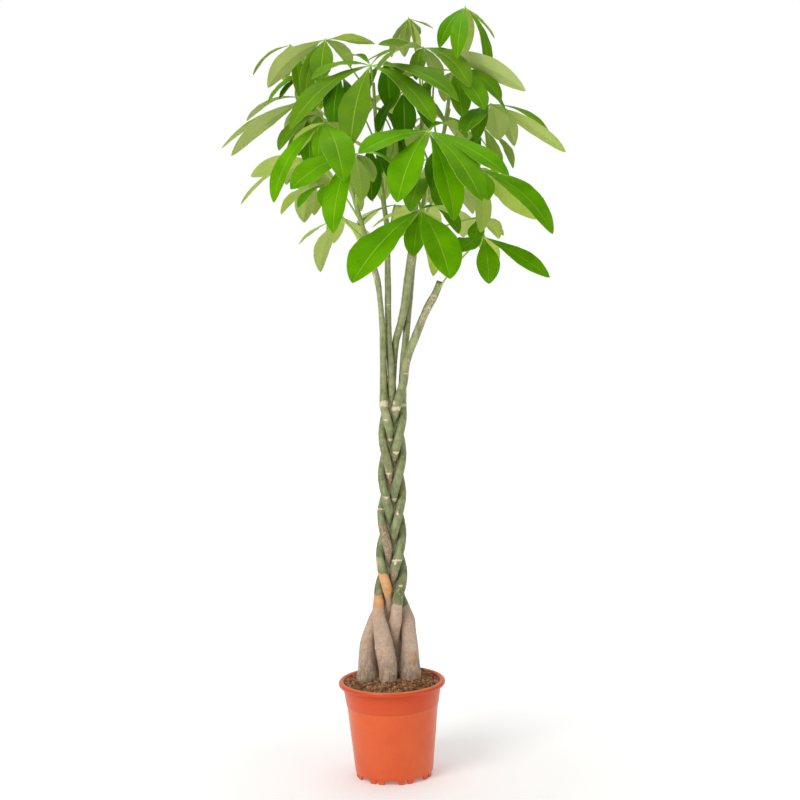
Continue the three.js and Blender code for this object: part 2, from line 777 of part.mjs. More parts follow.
function petiolePath(start, hub, sway) {
  const reach = minus(hub, start);
  const flat = Math.max(Math.hypot(reach[0], reach[1]), 1);
  const side = [reach[1] / flat, -reach[0] / flat, 0];
  const lifted = plus(mix(start, hub, 0.42), [0, 0, 0.12 * length(reach)]);
  const control = plus(lifted, times(side, sway));
  const end = plus(hub, times(unit(minus(hub, control)), HUB_OVERRUN));
  const along = (t) => mix(mix(start, control, t), mix(control, end, t), t);
  return { side, along };
}

// A leaf stalk: swollen where it meets the stem and where the leaflets spring from it.
function petioleRadius(t) {
  return 1.9 + 1.3 * (1 - t) ** 8 + 1.7 * t ** 10;
}

function routedPetiole(start, hub, owner, stemName) {
  let best = null;
  for (const sway of SIDE_STEPS) {
    const path = petiolePath(start, hub, sway);
    const samples = [];
    const count = Math.ceil(length(minus(hub, start)) / 7);
    for (let i = 0; i <= count; i += 1) {
      samples.push(path.along(i / count));
    }
    const away = samples.filter((p) => length(minus(p, start)) > 14);
    const room = clearance(away, owner, stemName);
    if (best === null || room > best.room) {
      best = { path, samples, room };
    }
    if (room >= CLEARANCE + 2) {
      break;
    }
  }
  return best;
}

function leafGeometry(leaf, stem) {
  const place = (t) => ({ point: leaf.petiole.along(t), radius: petioleRadius(t) });
  let solid = toSolid(tube(place, leaf.petiole.side, PETIOLE_SIDES, PETIOLE_STEPS));
  for (const leaflet of leaf.leaflets) {
    solid = solid.add(toSolid(bladeGeometry(leaflet)));
  }
  const bark = toSolid(stemGeometry(stem.place, stem.places, GAP));
  return toGeometry(solid.subtract(bark));
}

// Lays out every leaf: all the petioles first, then the leaflets, which bend round them.
function growLeaves() {
  for (const stem of stems) {
    for (let t = 0.35; t <= 1; t += 0.008) {
      const { point, radius } = stem.place(t);
      addObstacle([point], radius, stem.name);
    }
  }
  const plans = [...FRONT_LEAVES];
  for (let i = 0; i < BACK_LEAVES; i += 1) {
    plans.push(backLeaf(i));
  }
  const leaves = plans.map((plan, i) => {
    const stem = stems[plan.stem - 1];
    const start = stemAtHeight(stem, plan.at).point;
    const hub = fromElevation(plan.hub);
    const name = `leaf_${String(i + 1).padStart(2, "0")}`;
    const { path, samples } = routedPetiole(start, hub, name, stem.name);
    addObstacle(samples, 2, name);
    return { name, plan, stem, hub, petiole: path, leaflets: [] };
  });
  for (const leaf of leaves) {
    leaf.plan.tips.forEach((tip, k) => {
      const bent = bentClear(leaf.hub, tip, k * 1.3 + leaf.hub[0], leaf.name);
      if (bent.room >= CLEARANCE * 0.75) {
        leaf.leaflets.push(bent.leaflet);
        addObstacle(bent.samples, 0, leaf.name);
      }
    });
  }
  return leaves;
}

// ---- assembly ----
const plant = new THREE.Group();
plant.add(namedMesh("pot", potGeometry(), potPlastic));
plant.add(namedMesh("soil", soilGeometry(), soilMix));
for (const stem of stems) {
  plant.add(namedMesh(stem.name, stem.geometry, stemBark));
}
for (const leaf of growLeaves()) {
  plant.add(namedMesh(leaf.name, leafGeometry(leaf, leaf.stem), leafGreen));
}
plant.position.set(...POT_AXIS, 0);

const group = new THREE.Group();
group.add(plant);

export default group;
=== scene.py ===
# Potted money tree: five braided stems, hand-shaped leaves, potting mix and a plastic nursery pot.
# Sizes of the plant and pot are in millimetres from the pot's axis, finished meshes are in metres.
import math

import bpy
import numpy as np
from mathutils import Matrix, Vector, noise
from mathutils.kdtree import KDTree


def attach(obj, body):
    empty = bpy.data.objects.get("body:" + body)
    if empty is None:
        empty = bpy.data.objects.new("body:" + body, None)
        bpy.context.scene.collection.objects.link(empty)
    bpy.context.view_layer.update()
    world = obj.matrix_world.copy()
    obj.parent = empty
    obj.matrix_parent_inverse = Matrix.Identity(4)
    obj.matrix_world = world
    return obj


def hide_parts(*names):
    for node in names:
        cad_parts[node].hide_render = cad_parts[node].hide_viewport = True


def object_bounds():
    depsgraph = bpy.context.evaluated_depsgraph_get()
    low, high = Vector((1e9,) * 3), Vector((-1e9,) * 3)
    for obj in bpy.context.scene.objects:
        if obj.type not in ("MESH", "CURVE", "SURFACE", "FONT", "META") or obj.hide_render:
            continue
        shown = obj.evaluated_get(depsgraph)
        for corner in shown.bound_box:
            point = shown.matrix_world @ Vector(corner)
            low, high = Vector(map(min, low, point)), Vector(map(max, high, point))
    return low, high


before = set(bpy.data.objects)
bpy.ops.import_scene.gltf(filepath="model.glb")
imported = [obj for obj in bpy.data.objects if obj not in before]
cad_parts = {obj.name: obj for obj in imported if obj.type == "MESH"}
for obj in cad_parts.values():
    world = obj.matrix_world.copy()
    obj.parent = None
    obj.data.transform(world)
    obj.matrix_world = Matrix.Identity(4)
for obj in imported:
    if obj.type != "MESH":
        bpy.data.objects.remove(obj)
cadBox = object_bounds()

# where the pot stands, and the eye that the elevation places are given from
standing = {"potAxis": (-32.0, 0.0), "eyeDistance": 4000.0, "eyeHeight": 1305.0}


def fromElevation(place):
    x, y, z = place[:3]
    widening = 1 + y / standing["eyeDistance"]
    return np.array([x * widening, y, standing["eyeHeight"] + (z - standing["eyeHeight"]) * widening])


def toElevation(points):
    widening = 1 + points[:, 1] / standing["eyeDistance"]
    return points[:, 0] / widening, standing["eyeHeight"] + (points[:, 2] - standing["eyeHeight"]) / widening


def toMetres(points):
    return (np.asarray(points, float) + np.array([*standing["potAxis"], 0.0])) * 0.001


def toMillimetres(points):
    return points * 1000 - np.array([*standing["potAxis"], 0])


def unit(vector):
    vector = np.asarray(vector, float)
    return vector / np.linalg.norm(vector, axis=-1, keepdims=True)


def smoothStep(low, high, value):
    t = np.clip((value - low) / (high - low), 0, 1)
    return t * t * (3 - 2 * t)


# small helpers for node trees
def feed(tree, node, inputs):
    # each input, by name or number, gets a link or a plain value
    for key, value in inputs.items():
        if isinstance(value, bpy.types.NodeSocket):
            tree.links.new(value, node.inputs[key])
        else:
            node.inputs[key].default_value = value


def addNode(tree, kind, inputs=None, **settings):
    made = tree.nodes.new(kind)
    for key, value in settings.items():
        setattr(made, key, value)
    feed(tree, made, inputs or {})
    return made


def calc(tree, operation, *values):
    return addNode(tree, "ShaderNodeMath", dict(enumerate(values)), operation=operation).outputs[0]


def times(tree, first, second):
    return calc(tree, "MULTIPLY", first, second)


def plus(tree, first, second):
    return calc(tree, "ADD", first, second)


def minus(tree, first, second):
    return calc(tree, "SUBTRACT", first, second)


def readAttribute(tree, name, kind="FLOAT"):
    return addNode(tree, "GeometryNodeInputNamedAttribute", {"Name": name}, data_type=kind).outputs[0]


def keepAttribute(tree, geometry, name, value, kind="FLOAT", domain="POINT"):
    return addNode(tree, "GeometryNodeStoreNamedAttribute", {
        "Geometry": geometry, "Name": name, "Value": value}, data_type=kind, domain=domain).outputs[0]


def newTree(name, inputs):
    tree = bpy.data.node_groups.new(name, "GeometryNodeTree")
    tree.interface.new_socket("Geometry", in_out="INPUT", socket_type="NodeSocketGeometry")
    for label, kind, value in inputs:
        made = tree.interface.new_socket(label, in_out="INPUT", socket_type="NodeSocket" + kind)
        if value is not None:
            made.default_value = value
    tree.interface.new_socket("Geometry", in_out="OUTPUT", socket_type="NodeSocketGeometry")
    return tree, tree.nodes.new("NodeGroupInput").outputs


def closeTree(tree, geometry):
    out = tree.nodes.new("NodeGroupOutput")
    realized = addNode(tree, "GeometryNodeRealizeInstances", {"Geometry": geometry})
    tree.links.new(realized.outputs[0], out.inputs[0])


def join(tree, *parts):
    made = tree.nodes.new("GeometryNodeJoinGeometry")
    for part in parts:
        tree.links.new(part, made.inputs[0])
    return made.outputs[0]


def paint(tree, geometry, material):
    return addNode(tree, "GeometryNodeSetMaterial", {"Geometry": geometry, "Material": material}).outputs[0]


def smoothBelow(tree, geometry, degrees):
    # smooth faces, with the edges sharper than this left crisp
    angle = addNode(tree, "GeometryNodeInputMeshEdgeAngle").outputs[0]
    sharp = calc(tree, "GREATER_THAN", angle, math.radians(degrees))
    smooth = addNode(tree, "GeometryNodeSetShadeSmooth", {"Geometry": geometry, "Shade Smooth": True})
    return addNode(tree, "GeometryNodeSetShadeSmooth", {
        "Geometry": smooth.outputs[0], "Selection": sharp, "Shade Smooth": False}, domain="EDGE").outputs[0]


def addObject(name, data):
    made = bpy.data.objects.new(name, data)
    bpy.context.scene.collection.objects.link(made)
    return made


def grow(name, mesh, tree, settings):
    # an object with the tree on it, its inputs set before it is first evaluated
    piece = addObject(name, mesh)
    modifier = piece.modifiers.new(tree.name, "NODES")
    modifier.node_group = tree
    for item in tree.interface.items_tree:
        if item.item_type == "SOCKET" and item.in_out == "INPUT" and item.name in settings:
            modifier[item.identifier] = settings[item.name]
    return piece


def settle(pieces):
    # every grown piece becomes a plain mesh
    graph = bpy.context.evaluated_depsgraph_get()
    made = [(piece, bpy.data.meshes.new_from_object(piece.evaluated_get(graph))) for piece in pieces]
    for piece, mesh in made:
        piece.modifiers.clear()
        piece.data = mesh
        mesh.name = piece.name


def newMesh(name, points, faces=()):
    # from points in millimetres
    mesh = bpy.data.meshes.new(name)
    mesh.from_pydata([tuple(p) for p in toMetres(points)], [], faces)
    return mesh


def setValues(mesh, attributes):
    # named values of the points: vectors, whole numbers or decimals
    for label, values in attributes.items():
        if values.ndim == 2:
            kind, key, form = "FLOAT_VECTOR", "vector", np.float32
        elif values.dtype.kind == "i":
            kind, key, form = "INT", "value", np.int32
        else:
            kind, key, form = "FLOAT", "value", np.float32
        mesh.attributes.new(label, kind, "POINT").data.foreach_set(key, values.astype(form).ravel())


def readVectors(items, key):
    flat = np.empty(len(items) * 3, np.float32)
    items.foreach_get(key, flat)
    return flat.reshape(-1, 3)


def meshPoints(mesh):
    return readVectors(mesh.vertices, "co").astype(float)


def movePoints(mesh, points):
    mesh.vertices.foreach_set("co", points.astype(np.float32).ravel())
    mesh.update()


# small helpers for materials
def newMaterial(name, roughness, specular=0.5):
    material = bpy.data.materials.new(name)
    material.use_nodes = True
    shader = material.node_tree.nodes["Principled BSDF"]
    shader.inputs["Roughness"].default_value = roughness
    shader.inputs["Specular IOR Level"].default_value = specular
    return material, material.node_tree, shader


def valueOf(tree, label):
    return addNode(tree, "ShaderNodeAttribute", attribute_name=label).outputs["Fac"]


def placeOf(tree, stretch=(1, 1, 1)):
    coordinates = addNode(tree, "ShaderNodeTexCoord").outputs["Object"]
    return addNode(tree, "ShaderNodeMapping", {"Vector": coordinates, "Scale": stretch}).outputs[0]


def grain(tree, vector, scale, detail=4.0, rough=0.55, warp=0.0):
    return addNode(tree, "ShaderNodeTexNoise", {
        "Vector": vector, "Scale": scale, "Detail": detail, "Roughness": rough,
        "Distortion": warp}).outputs["Fac"]


def spread(tree, value, low, high, toLow=0.0, toHigh=1.0):
    return addNode(tree, "ShaderNodeMapRange", {
        "Value": value, "From Min": low, "From Max": high, "To Min": toLow, "To Max": toHigh}).outputs[0]


def blend(tree, amount, first, second):
    first, second = ((*value, 1.0) if isinstance(value, tuple) else value for value in (first, second))
    return addNode(tree, "ShaderNodeMix", {0: amount, 6: first, 7: second}, data_type="RGBA").outputs[2]


def coated(tree, colour, *coats):
    # coats over a colour, each given as how much of it shows and its own colour
    for amount, over in coats:
        colour = blend(tree, amount, colour, over)
    return colour


def ramp(tree, value, stops):
    made = addNode(tree, "ShaderNodeValToRGB", {"Fac": value})
    elements = made.color_ramp.elements
    while len(elements) < len(stops):
        elements.new(0.5)
    for element, (spot, colour) in zip(elements, stops):
        element.position = spot
        element.color = (*colour, 1.0)
    return made.outputs[0]


def bumped(tree, height, strength, distance):
    return addNode(tree, "ShaderNodeBump", {
        "Height": height, "Strength": strength, "Distance": distance}).outputs[0]


# the camera stands this far in front of the pot axis, in mm, and looks along these angles in degrees
view = {"eye": (0.0, -4000.0, 1305.0), "turn": 0.51, "down": 6.48, "roll": -1.58,
        "focalPixels": 1819.0, "pictureWidth": 800, "sensorWidth": 36.0, "farthest": 60}


def makeCamera():
    turn, down, roll = (math.radians(view[key]) for key in ("turn", "down", "roll"))
    ahead = Vector((math.sin(turn) * math.cos(down), math.cos(turn) * math.cos(down), -math.sin(down)))
    right = Vector((math.cos(turn), -math.sin(turn), 0))
    above = right.cross(ahead)
    across = math.cos(roll) * right + math.sin(roll) * above
    upward = -math.sin(roll) * right + math.cos(roll) * above
    data = bpy.data.cameras.new("viewCamera")
    data.sensor_width = view["sensorWidth"]
    data.lens = view["sensorWidth"] * view["focalPixels"] / view["pictureWidth"]
    data.clip_end = view["farthest"]
    camera = addObject("viewCamera", data)
    placed = Matrix((across, upward, -ahead)).transposed().to_4x4()
    placed.translation = Vector(toMetres(view["eye"]))
    camera.matrix_world = placed
    bpy.context.scene.camera = camera


studio = {
    "floorSize": 14.0,
    "paper": (0.93, 0.93, 0.925),
    "white": (1.0, 1.0, 1.0, 1.0),
    "paperGlow": (0.16, 0.58),  # beside the pot, and far from it
    "glowReach": (0.35, 2.6),
    "sky": 0.46,  # what the air gives to the plant; it shows as white paper
    "lamps": [  # name, place in metres, aim, size, watts, colour
        ("keySoftbox", (-2.2, -2.6, 3.4), (0.0, 0.0, 1.0), 2.2, 82.0, (1.0, 0.985, 0.96)),
        ("fillSoftbox", (2.8, -2.4, 2.2), (0.0, 0.0, 0.9), 2.4, 8.0, (1.0, 1.0, 1.0)),
        ("topSoftbox", (0.2, 0.6, 4.2), (0.0, 0.0, 1.0), 2.6, 52.0, (1.0, 1.0, 1.0)),
        ("lowSoftbox", (-1.2, -2.6, 0.5), (0.0, 0.0, 0.3), 1.4, 5.0, (1.0, 0.98, 0.96)),
    ],
}


def makeStudio():
    half = studio["floorSize"] / 2
    mesh = bpy.data.meshes.new("floorPaper")
    corners = [(-half, -half, 0), (half, -half, 0), (half, half, 0), (-half, half, 0)]
    mesh.from_pydata(corners, [], [(0, 1, 2, 3)])
    floor = addObject("floorPaper", mesh)
    material, tree, shader = newMaterial("palePaper", 0.9, 0.1)
    faint = grain(tree, placeOf(tree), 3.0)
    darker = tuple(c * 0.99 for c in studio["paper"])
    shade = blend(tree, spread(tree, faint, 0.3, 0.7), studio["paper"], darker)
    # the paper is lit through a little, more so far from the pot, so that it runs out to white
    away = addNode(tree, "ShaderNodeVectorMath", {0: placeOf(tree)}, operation="LENGTH").outputs["Value"]
    glow = spread(tree, away, *studio["glowReach"], *studio["paperGlow"])
    feed(tree, shader, {"Base Color": shade, "Emission Strength": glow, "Emission Color": studio["white"]})
    mesh.materials.append(material)
    world = bpy.data.worlds.new("studioAir")
    world.use_nodes = True
    air = world.node_tree
    seen = addNode(air, "ShaderNodeLightPath").outputs["Is Camera Ray"]
    strength = calc(air, "MULTIPLY_ADD", seen, 1.0 - studio["sky"], studio["sky"])
    feed(air, air.nodes["Background"], {"Strength": strength, "Color": studio["white"]})
    bpy.context.scene.world = world
    for name, spot, aim, size, watts, colour in studio["lamps"]:
        data = bpy.data.lights.new(name, "AREA")
        data.shape = "DISK"
        data.size = size
        data.energy = watts
        data.color = colour
        lamp = addObject(name, data)
        lamp.location = spot
        lamp.rotation_euler = (Vector(aim) - Vector(spot)).to_track_quat("-Z", "Y").to_euler()


makeCamera()
makeStudio()
bpy.context.scene.view_settings.view_transform = "Standard"
print("camera, floor and lamps are up")

# each stem: its phase in the braid, the places of its swollen foot and its way up into the crown,
# in elevation, as (x, depth, height, radius)
braid = {"length": 450.0, "level": 405.0, "first": 405, "last": 840, "step": 29, "taperTop": 640.0,
         "halfWidth": (24.4, 20.0), "halfDepth": (28.5, 23.0), "radius": (11.5, 9.3), "linger": 0.12,
         "centre": 3, "drift": 17}
stemPlans = [
    {"phase": 278,
     "foot": [(-9, -42, 150, 18), (-8, -42, 217, 19.4), (-8, -42, 243, 20.4), (-12, -41, 275, 20.8),
              (-16.5, -38, 306, 19.6), (-21.5, -35, 337, 17.6), (-26, -26, 368, 14.2)],
     "shoot": [(1, -5, 880, 9), (1, -4, 940, 7.5), (1, -2, 1010, 6.2), (-1, 0, 1058, 6), (-5, 0, 1105, 6.5),
               (-11, -2, 1135, 6.5), (-23, -6, 1185, 6), (-33, -10, 1225, 5.5), (-44, -14, 1265, 5),
               (-54, -18, 1305, 4.8), (-66, -20, 1355, 4.5), (-78, -14, 1415, 4.2), (-88, -6, 1465, 3.8),
               (-94, 0, 1505, 3)]},
    {"phase": 350,
     "foot": [(-34, 44, 150, 19), (-32, 43, 217, 22), (-31, 42, 245, 20), (-15, 38, 300, 15.5),
              (-6, 27, 335, 13), (-1.5, 4, 370, 11.6)],
     "shoot": [(19, -8, 880, 9), (17, 0, 930, 8), (14.5, 8, 980, 7.2), (14.5, 12, 1035, 7), (16, 14, 1105, 7),
               (17, 22, 1175, 6.5), (17, 34, 1235, 6), (12, 44, 1285, 5.5), (7, 50, 1340, 5),
               (3, 55, 1410, 4.6), (-1, 58, 1480, 4), (-3, 60, 1545, 3)]},
    {"phase": 206,
     "foot": [(-55, -8, 150, 21), (-54, -9, 217, 25.2), (-53.5, -9, 242, 21.5), (-54, -8, 274, 18.8),
              (-52, -5, 306, 16.2), (-43.5, 0, 338, 13.4), (-30.5, 12, 370, 12)],
     "shoot": [(19, 17, 890, 8.5), (25, 18, 945, 8), (31, 15, 985, 8), (42, 6, 1020, 8.3), (51, 0, 1060, 8.6),
               (58, -4, 1105, 8.8), (66, -8, 1150, 8.8), (71, -10, 1185, 8.4), (76, -8, 1230, 7),
               (83, -4, 1290, 6), (92, 0, 1370, 5.2), (99, 4, 1450, 4.4), (104, 8, 1525, 3.2)]},
    {"phase": 62,
     "foot": [(38, -14, 150, 22), (38.5, -14, 219, 27.4), (40, -13, 246, 24.4), (42, -11, 270, 21),
              (42.4, -8, 302, 17.8), (39.8, -2, 334, 16.8), (39.5, 2, 358, 13.4)],
     "shoot": [(42, 14, 885, 8.5), (46, 13, 940, 8), (52, 14, 985, 7.8), (57, 17, 1030, 7.6),
               (63, 21, 1080, 7.4), (70, 25, 1140, 7.2), (80, 29, 1200, 6.8), (96, 34, 1270, 6.2),
               (120, 42, 1350, 5.4), (143, 50, 1420, 4.6), (160, 55, 1485, 3.4)]},
    {"phase": 134,
     "foot": [(20, 42, 150, 18), (18, 40, 225, 20), (16, 34, 266, 17.5), (14, 20, 300, 15),
              (8.3, -9.5, 334, 13.3), (13, -26, 360, 13)],
     "shoot": [(43, -17, 885, 9.8), (49, -14, 925, 9.6), (59, -12, 957, 9.2), (70, -12, 982, 9),
               (81, -13, 1008, 8.8), (93, -14, 1035, 8.6), (105, -15, 1059, 9.2), (117, -16, 1078, 8.4),
               (126, -17, 1097, 8), (131, -18, 1110, 7.6)]},
]


def braidPoint(phase, height):
    # in the braid's length a strand goes across and back once, and in and out twice
    turn = math.radians(phase + (braid["level"] - height) / braid["length"] * 360)
    centre = braid["centre"] + braid["drift"] * (height - braid["level"]) / braid["length"]
    below = max(0, (braid["taperTop"] - height) / (braid["taperTop"] - braid["level"])) ** 1.5
    width, depth, radius = (upper + (lower - upper) * below
                            for lower, upper in (braid["halfWidth"], braid["halfDepth"], braid["radius"]))
    across = centre + width * (math.sin(turn) - braid["linger"] * math.sin(3 * turn))
    return across, depth * math.sin(2 * turn), height, radius


class Stem:  # a smooth line through the stem's places, with its radius
    def __init__(self, name, plan):
        heights = range(braid["first"], braid["last"] + 1, braid["step"])
        woven = [braidPoint(plan["phase"], height) for height in heights]
        places = [*plan["foot"], *woven, *plan["shoot"]]
        self.name = name
        self.points = np.array([fromElevation(p) for p in places])
        self.radii = np.array([p[3] for p in places], float)

    def at(self, t):
        last = len(self.points) - 1
        t = np.atleast_1d(np.asarray(t, float))
        index = np.minimum(t * last, last - 1e-9)
        low = np.floor(index).astype(int)
        w = (index - low)[:, None]
        line = self.points
        ends = np.vstack([2 * line[0] - line[1], line, 2 * line[-1] - line[-2]])
        a, b, c, d = (ends[low + k] for k in range(4))
        t0, t1 = 0.5 * (c - a), 0.5 * (d - b)
        spot = b + t0 * w + (-3 * b + 3 * c - 2 * t0 - t1) * w ** 2 + (2 * b - 2 * c + t0 + t1) * w ** 3
        radius = self.radii[low] + (self.radii[low + 1] - self.radii[low]) * w[:, 0]
        return spot, radius

    def atHeight(self, height):
        low, high = 0.0, 1.0
        for _ in range(40):
            middle = (low + high) / 2
            if self.at(middle)[0][0, 2] < height:
                low = middle
            else:
                high = middle
        return self.at(low)[0][0]


stems = [Stem(f"stem_{i + 1}", plan) for i, plan in enumerate(stemPlans)]
print("stem lines are laid out")

# each leaf: its stem and the height it grows from, its hub, and its leaflets' tips as
# (x, depth, height, width, arch, roll), all in elevation; tone runs from fresh 0 to dull 1,
# and below 0 it is painted shade for the crown's inside, darkest at -1
frontLeaves = [
    {"stem": 2, "at": 1440, "hub": (-8, -100, 1582), "tone": 0.75, "tips": [
        (-137, -140, 1556, 50, 0.12, 15), (-188, -215, 1450, 54, 0.1, 25), (-57, -215, 1408, 70, 0.1),
        (126, -200, 1455, 66, 0.1, -15), (181, -160, 1500, 56, 0.12, -25), (62, -60, 1612, 32),
        (-60, -20, 1600, 36)]},
    {"stem": 3, "at": 1330, "hub": (112, -215, 1438), "tone": 0.15, "tips": [
        (-40, -300, 1393, 56, 0.06, 30), (42, -325, 1285, 74, 0.08, 10), (226, -325, 1283, 74, 0.08, -10),
        (287, -270, 1336, 56, 0.05, -30), (165, -290, 1242, 66, 0.08), (70, -90, 1400, 40),
        (175, -100, 1440, 40)]},
    {"stem": 3, "at": 1300, "hub": (92, -200, 1268), "tone": 0.0, "tips": [
        (-62, -345, 1112, 98, 0.06, 12), (153, -310, 1115, 88, 0.08), (74, -235, 1166, 50, 0.04),
        (116, -170, 1122, 44), (176, -150, 1146, 36), (-14, -180, 1232, 46, 0.08), (165, -120, 1252, 38)]},
    {"stem": 1, "at": 1280, "hub": (-48, -205, 1393), "tone": 0.1, "tips": [
        (-100, -280, 1222, 62), (-190, -270, 1320, 60, 0.08, 40), (32, -240, 1370, 36), (-36, -150, 1290, 42),
        (-10, -120, 1330, 36)]},
    {"stem": 1, "at": 1330, "hub": (-113, -160, 1462), "tone": 0.2, "tips": [
        (-228, -215, 1292, 54, 0.12, 20), (-74, -255, 1335, 70), (-128, -215, 1376, 30),
        (-176, -60, 1395, 44), (-70, -40, 1410, 44)]},
    {"stem": 4, "at": 1290, "hub": (215, -140, 1354), "tone": 0.05, "tips": [
        (380, -190, 1207, 66, 0.11, -30), (345, -70, 1240, 72, 0.06, 42), (240, -210, 1284, 42),
        (222, -130, 1215, 44), (262, 10, 1290, 42)]},
    {"stem": 5, "at": 1066, "hub": (228, -70, 1206), "tone": 0.0, "tips": [
        (372, -90, 1112, 42, 0.03, -50), (238, -110, 1102, 52, 0.1), (172, -150, 1172, 60, 0.05, 15),
        (250, 60, 1130, 40)]},
    {"stem": 3, "at": 1470, "hub": (107, -20, 1617), "tone": 0.8, "tips": [
        (10, 10, 1626, 44, 0.03, -20), (-18, -70, 1590, 38, 0.08), (6, -130, 1570, 50, 0.08, -25),
        (90, -120, 1548, 36), (140, 60, 1535, 38), (327, -80, 1518, 52, 0.06, 55),
        (206, -130, 1530, 54, 0.12, -20)]},
    {"stem": 4, "at": 1472, "hub": (200, 20, 1700), "tone": 0.35, "tips": [
        (142, -50, 1615, 32, 0.1, 25), (180, -70, 1592, 38, 0.1), (243, -40, 1550, 36, 0.14),
        (262, 30, 1632, 28, 0.05), (200, 170, 1600, 40, 0.14)]},
    {"stem": 3, "at": 1490, "hub": (77, 10, 1680), "tone": 0.6, "tips": [
        (38, -60, 1598, 34, 0.1, 15), (66, -70, 1598, 28), (92, -60, 1604, 26), (101, 30, 1645, 20, 0.05),
        (130, 20, 1657, 18, 0.02), (68, 90, 1622, 28)]},
    {"stem": 2, "at": 1500, "hub": (-103, -30, 1640), "tone": 0.8, "tips": [
        (-232, -50, 1540, 50, 0.1, -55), (-116, -130, 1552, 52), (-152, -80, 1512, 36, 0.12, 60),
        (2, -60, 1628, 40, 0.04, 25), (-52, 50, 1580, 40), (-176, 110, 1560, 40)]},
    {"stem": 1, "at": 1470, "hub": (-180, 20, 1630), "tone": 0.5, "tips": [
        (-263, 40, 1568, 30), (-166, -30, 1520, 34), (-214, -30, 1568, 28, 0.08, -30), (-140, 70, 1570, 32),
        (-195, 110, 1550, 34)]},
    {"stem": 1, "at": 1440, "hub": (-146, 0, 1514), "tone": 0.7, "tips": [
        (-337, 50, 1413, 34, 0.06, -8), (-317, -60, 1396, 48, 0.06, -50), (-281, 110, 1470, 34),
        (-178, 90, 1412, 62), (-130, 130, 1420, 44)]},
    {"stem": 4, "at": 1370, "hub": (250, -20, 1492), "tone": 0.55, "tips": [
        (412, -70, 1384, 42, 0.03, 50), (388, -40, 1394, 30, 0.16, -20), (266, 60, 1414, 56),
        (194, -130, 1432, 58, 0.08), (219, -60, 1412, 42), (300, 150, 1400, 44)]},
    {"stem": 4, "at": 1425, "hub": (172, -60, 1566), "tone": 0.5, "tips": [
        (188, -110, 1466, 48, 0.08), (237, -130, 1480, 52, 0.08, -20), (272, -70, 1496, 46, 0.16, -35),
        (284, 10, 1470, 44, 0.12, -20), (46, -120, 1552, 28, 0.06, -30), (150, 60, 1500, 40)]},
    {"stem": 1, "at": 1240, "hub": (-132, 10, 1378), "tone": 0.45, "tips": [
        (-276, -10, 1350, 42, 0.08, -65), (-300, 80, 1290, 34), (-163, 70, 1247, 56, 0.08),
        (-200, 130, 1330, 44), (-110, 120, 1300, 44)]},
    {"stem": 1, "at": 1180, "hub": (-84, 10, 1256), "tone": 0.4, "tips": [
        (-176, 40, 1200, 30, 0.06), (-131, 60, 1138, 48), (-20, 110, 1170, 42), (-100, 130, 1200, 42)]},
    {"stem": 4, "at": 1200, "hub": (222, 30, 1248), "tone": 0.2, "tips": [
        (272, 70, 1206, 22), (184, 90, 1205, 46), (212, -20, 1192, 40), (262, 130, 1200, 38)]},
    {"stem": 4, "at": 1250, "hub": (104, -60, 1335), "tone": 0.3, "tips": [
        (70, -110, 1264, 52), (142, -100, 1256, 52), (180, -10, 1290, 44), (60, 20, 1290, 44)]},
    {"stem": 3, "at": 1400, "hub": (62, -50, 1524), "tone": -0.7, "tips": [
        (5, -90, 1436, 48), (62, -130, 1424, 52), (118, -110, 1440, 50), (150, -20, 1450, 44)]},
    {"stem": 2, "at": 1300, "hub": (-18, -30, 1408), "tone": -0.8, "tips": [
        (-56, -80, 1296, 46), (-14, -100, 1290, 48), (34, -60, 1312, 46), (-80, 10, 1330, 42)]},
    {"stem": 2, "at": 1400, "hub": (-72, -10, 1562), "tone": -0.6, "tips": [
        (-136, -60, 1486, 44), (-92, -90, 1452, 48), (-44, -60, 1446, 46), (-100, 80, 1480, 44)]},
    {"stem": 4, "at": 1310, "hub": (152, -50, 1408), "tone": -0.6, "tips": [
        (118, -90, 1310, 46), (176, -100, 1306, 50), (216, -40, 1336, 46), (140, 50, 1320, 44)]},
    {"stem": 2, "at": 1440, "hub": (22, 20, 1592), "tone": -0.6, "tips": [
        (-18, -10, 1498, 46), (30, -40, 1486, 50), (80, -10, 1500, 46), (60, 90, 1530, 42)]},
    {"stem": 4, "at": 1400, "hub": (132, 30, 1562), "tone": -0.6, "tips": [
        (104, -30, 1470, 46), (165, -30, 1462, 48), (196, 30, 1480, 44), (120, 110, 1490, 42)]},
    {"stem": 2, "at": 1340, "hub": (0, 30, 1494), "tone": -0.9, "tips": [
        (-38, -30, 1414, 46), (14, -40, 1396, 50), (60, -10, 1410, 46), (-50, 90, 1430, 42)]},
    {"stem": 3, "at": 1280, "hub": (44, 20, 1450), "tone": -0.9, "tips": [
        (12, -20, 1350, 46), (60, -40, 1340, 48), (98, 30, 1360, 44), (30, 110, 1370, 42)]},
    {"stem": 1, "at": 1300, "hub": (-150, 60, 1470), "tone": -0.4, "tips": [
        (-192, 20, 1376, 44), (-146, 0, 1362, 46), (-106, 50, 1376, 44), (-170, 140, 1392, 42)]},
    {"stem": 4, "at": 1330, "hub": (232, 70, 1444), "tone": -0.3, "tips": [
        (204, 30, 1340, 46), (256, 10, 1336, 48), (296, 70, 1352, 44)]},
]

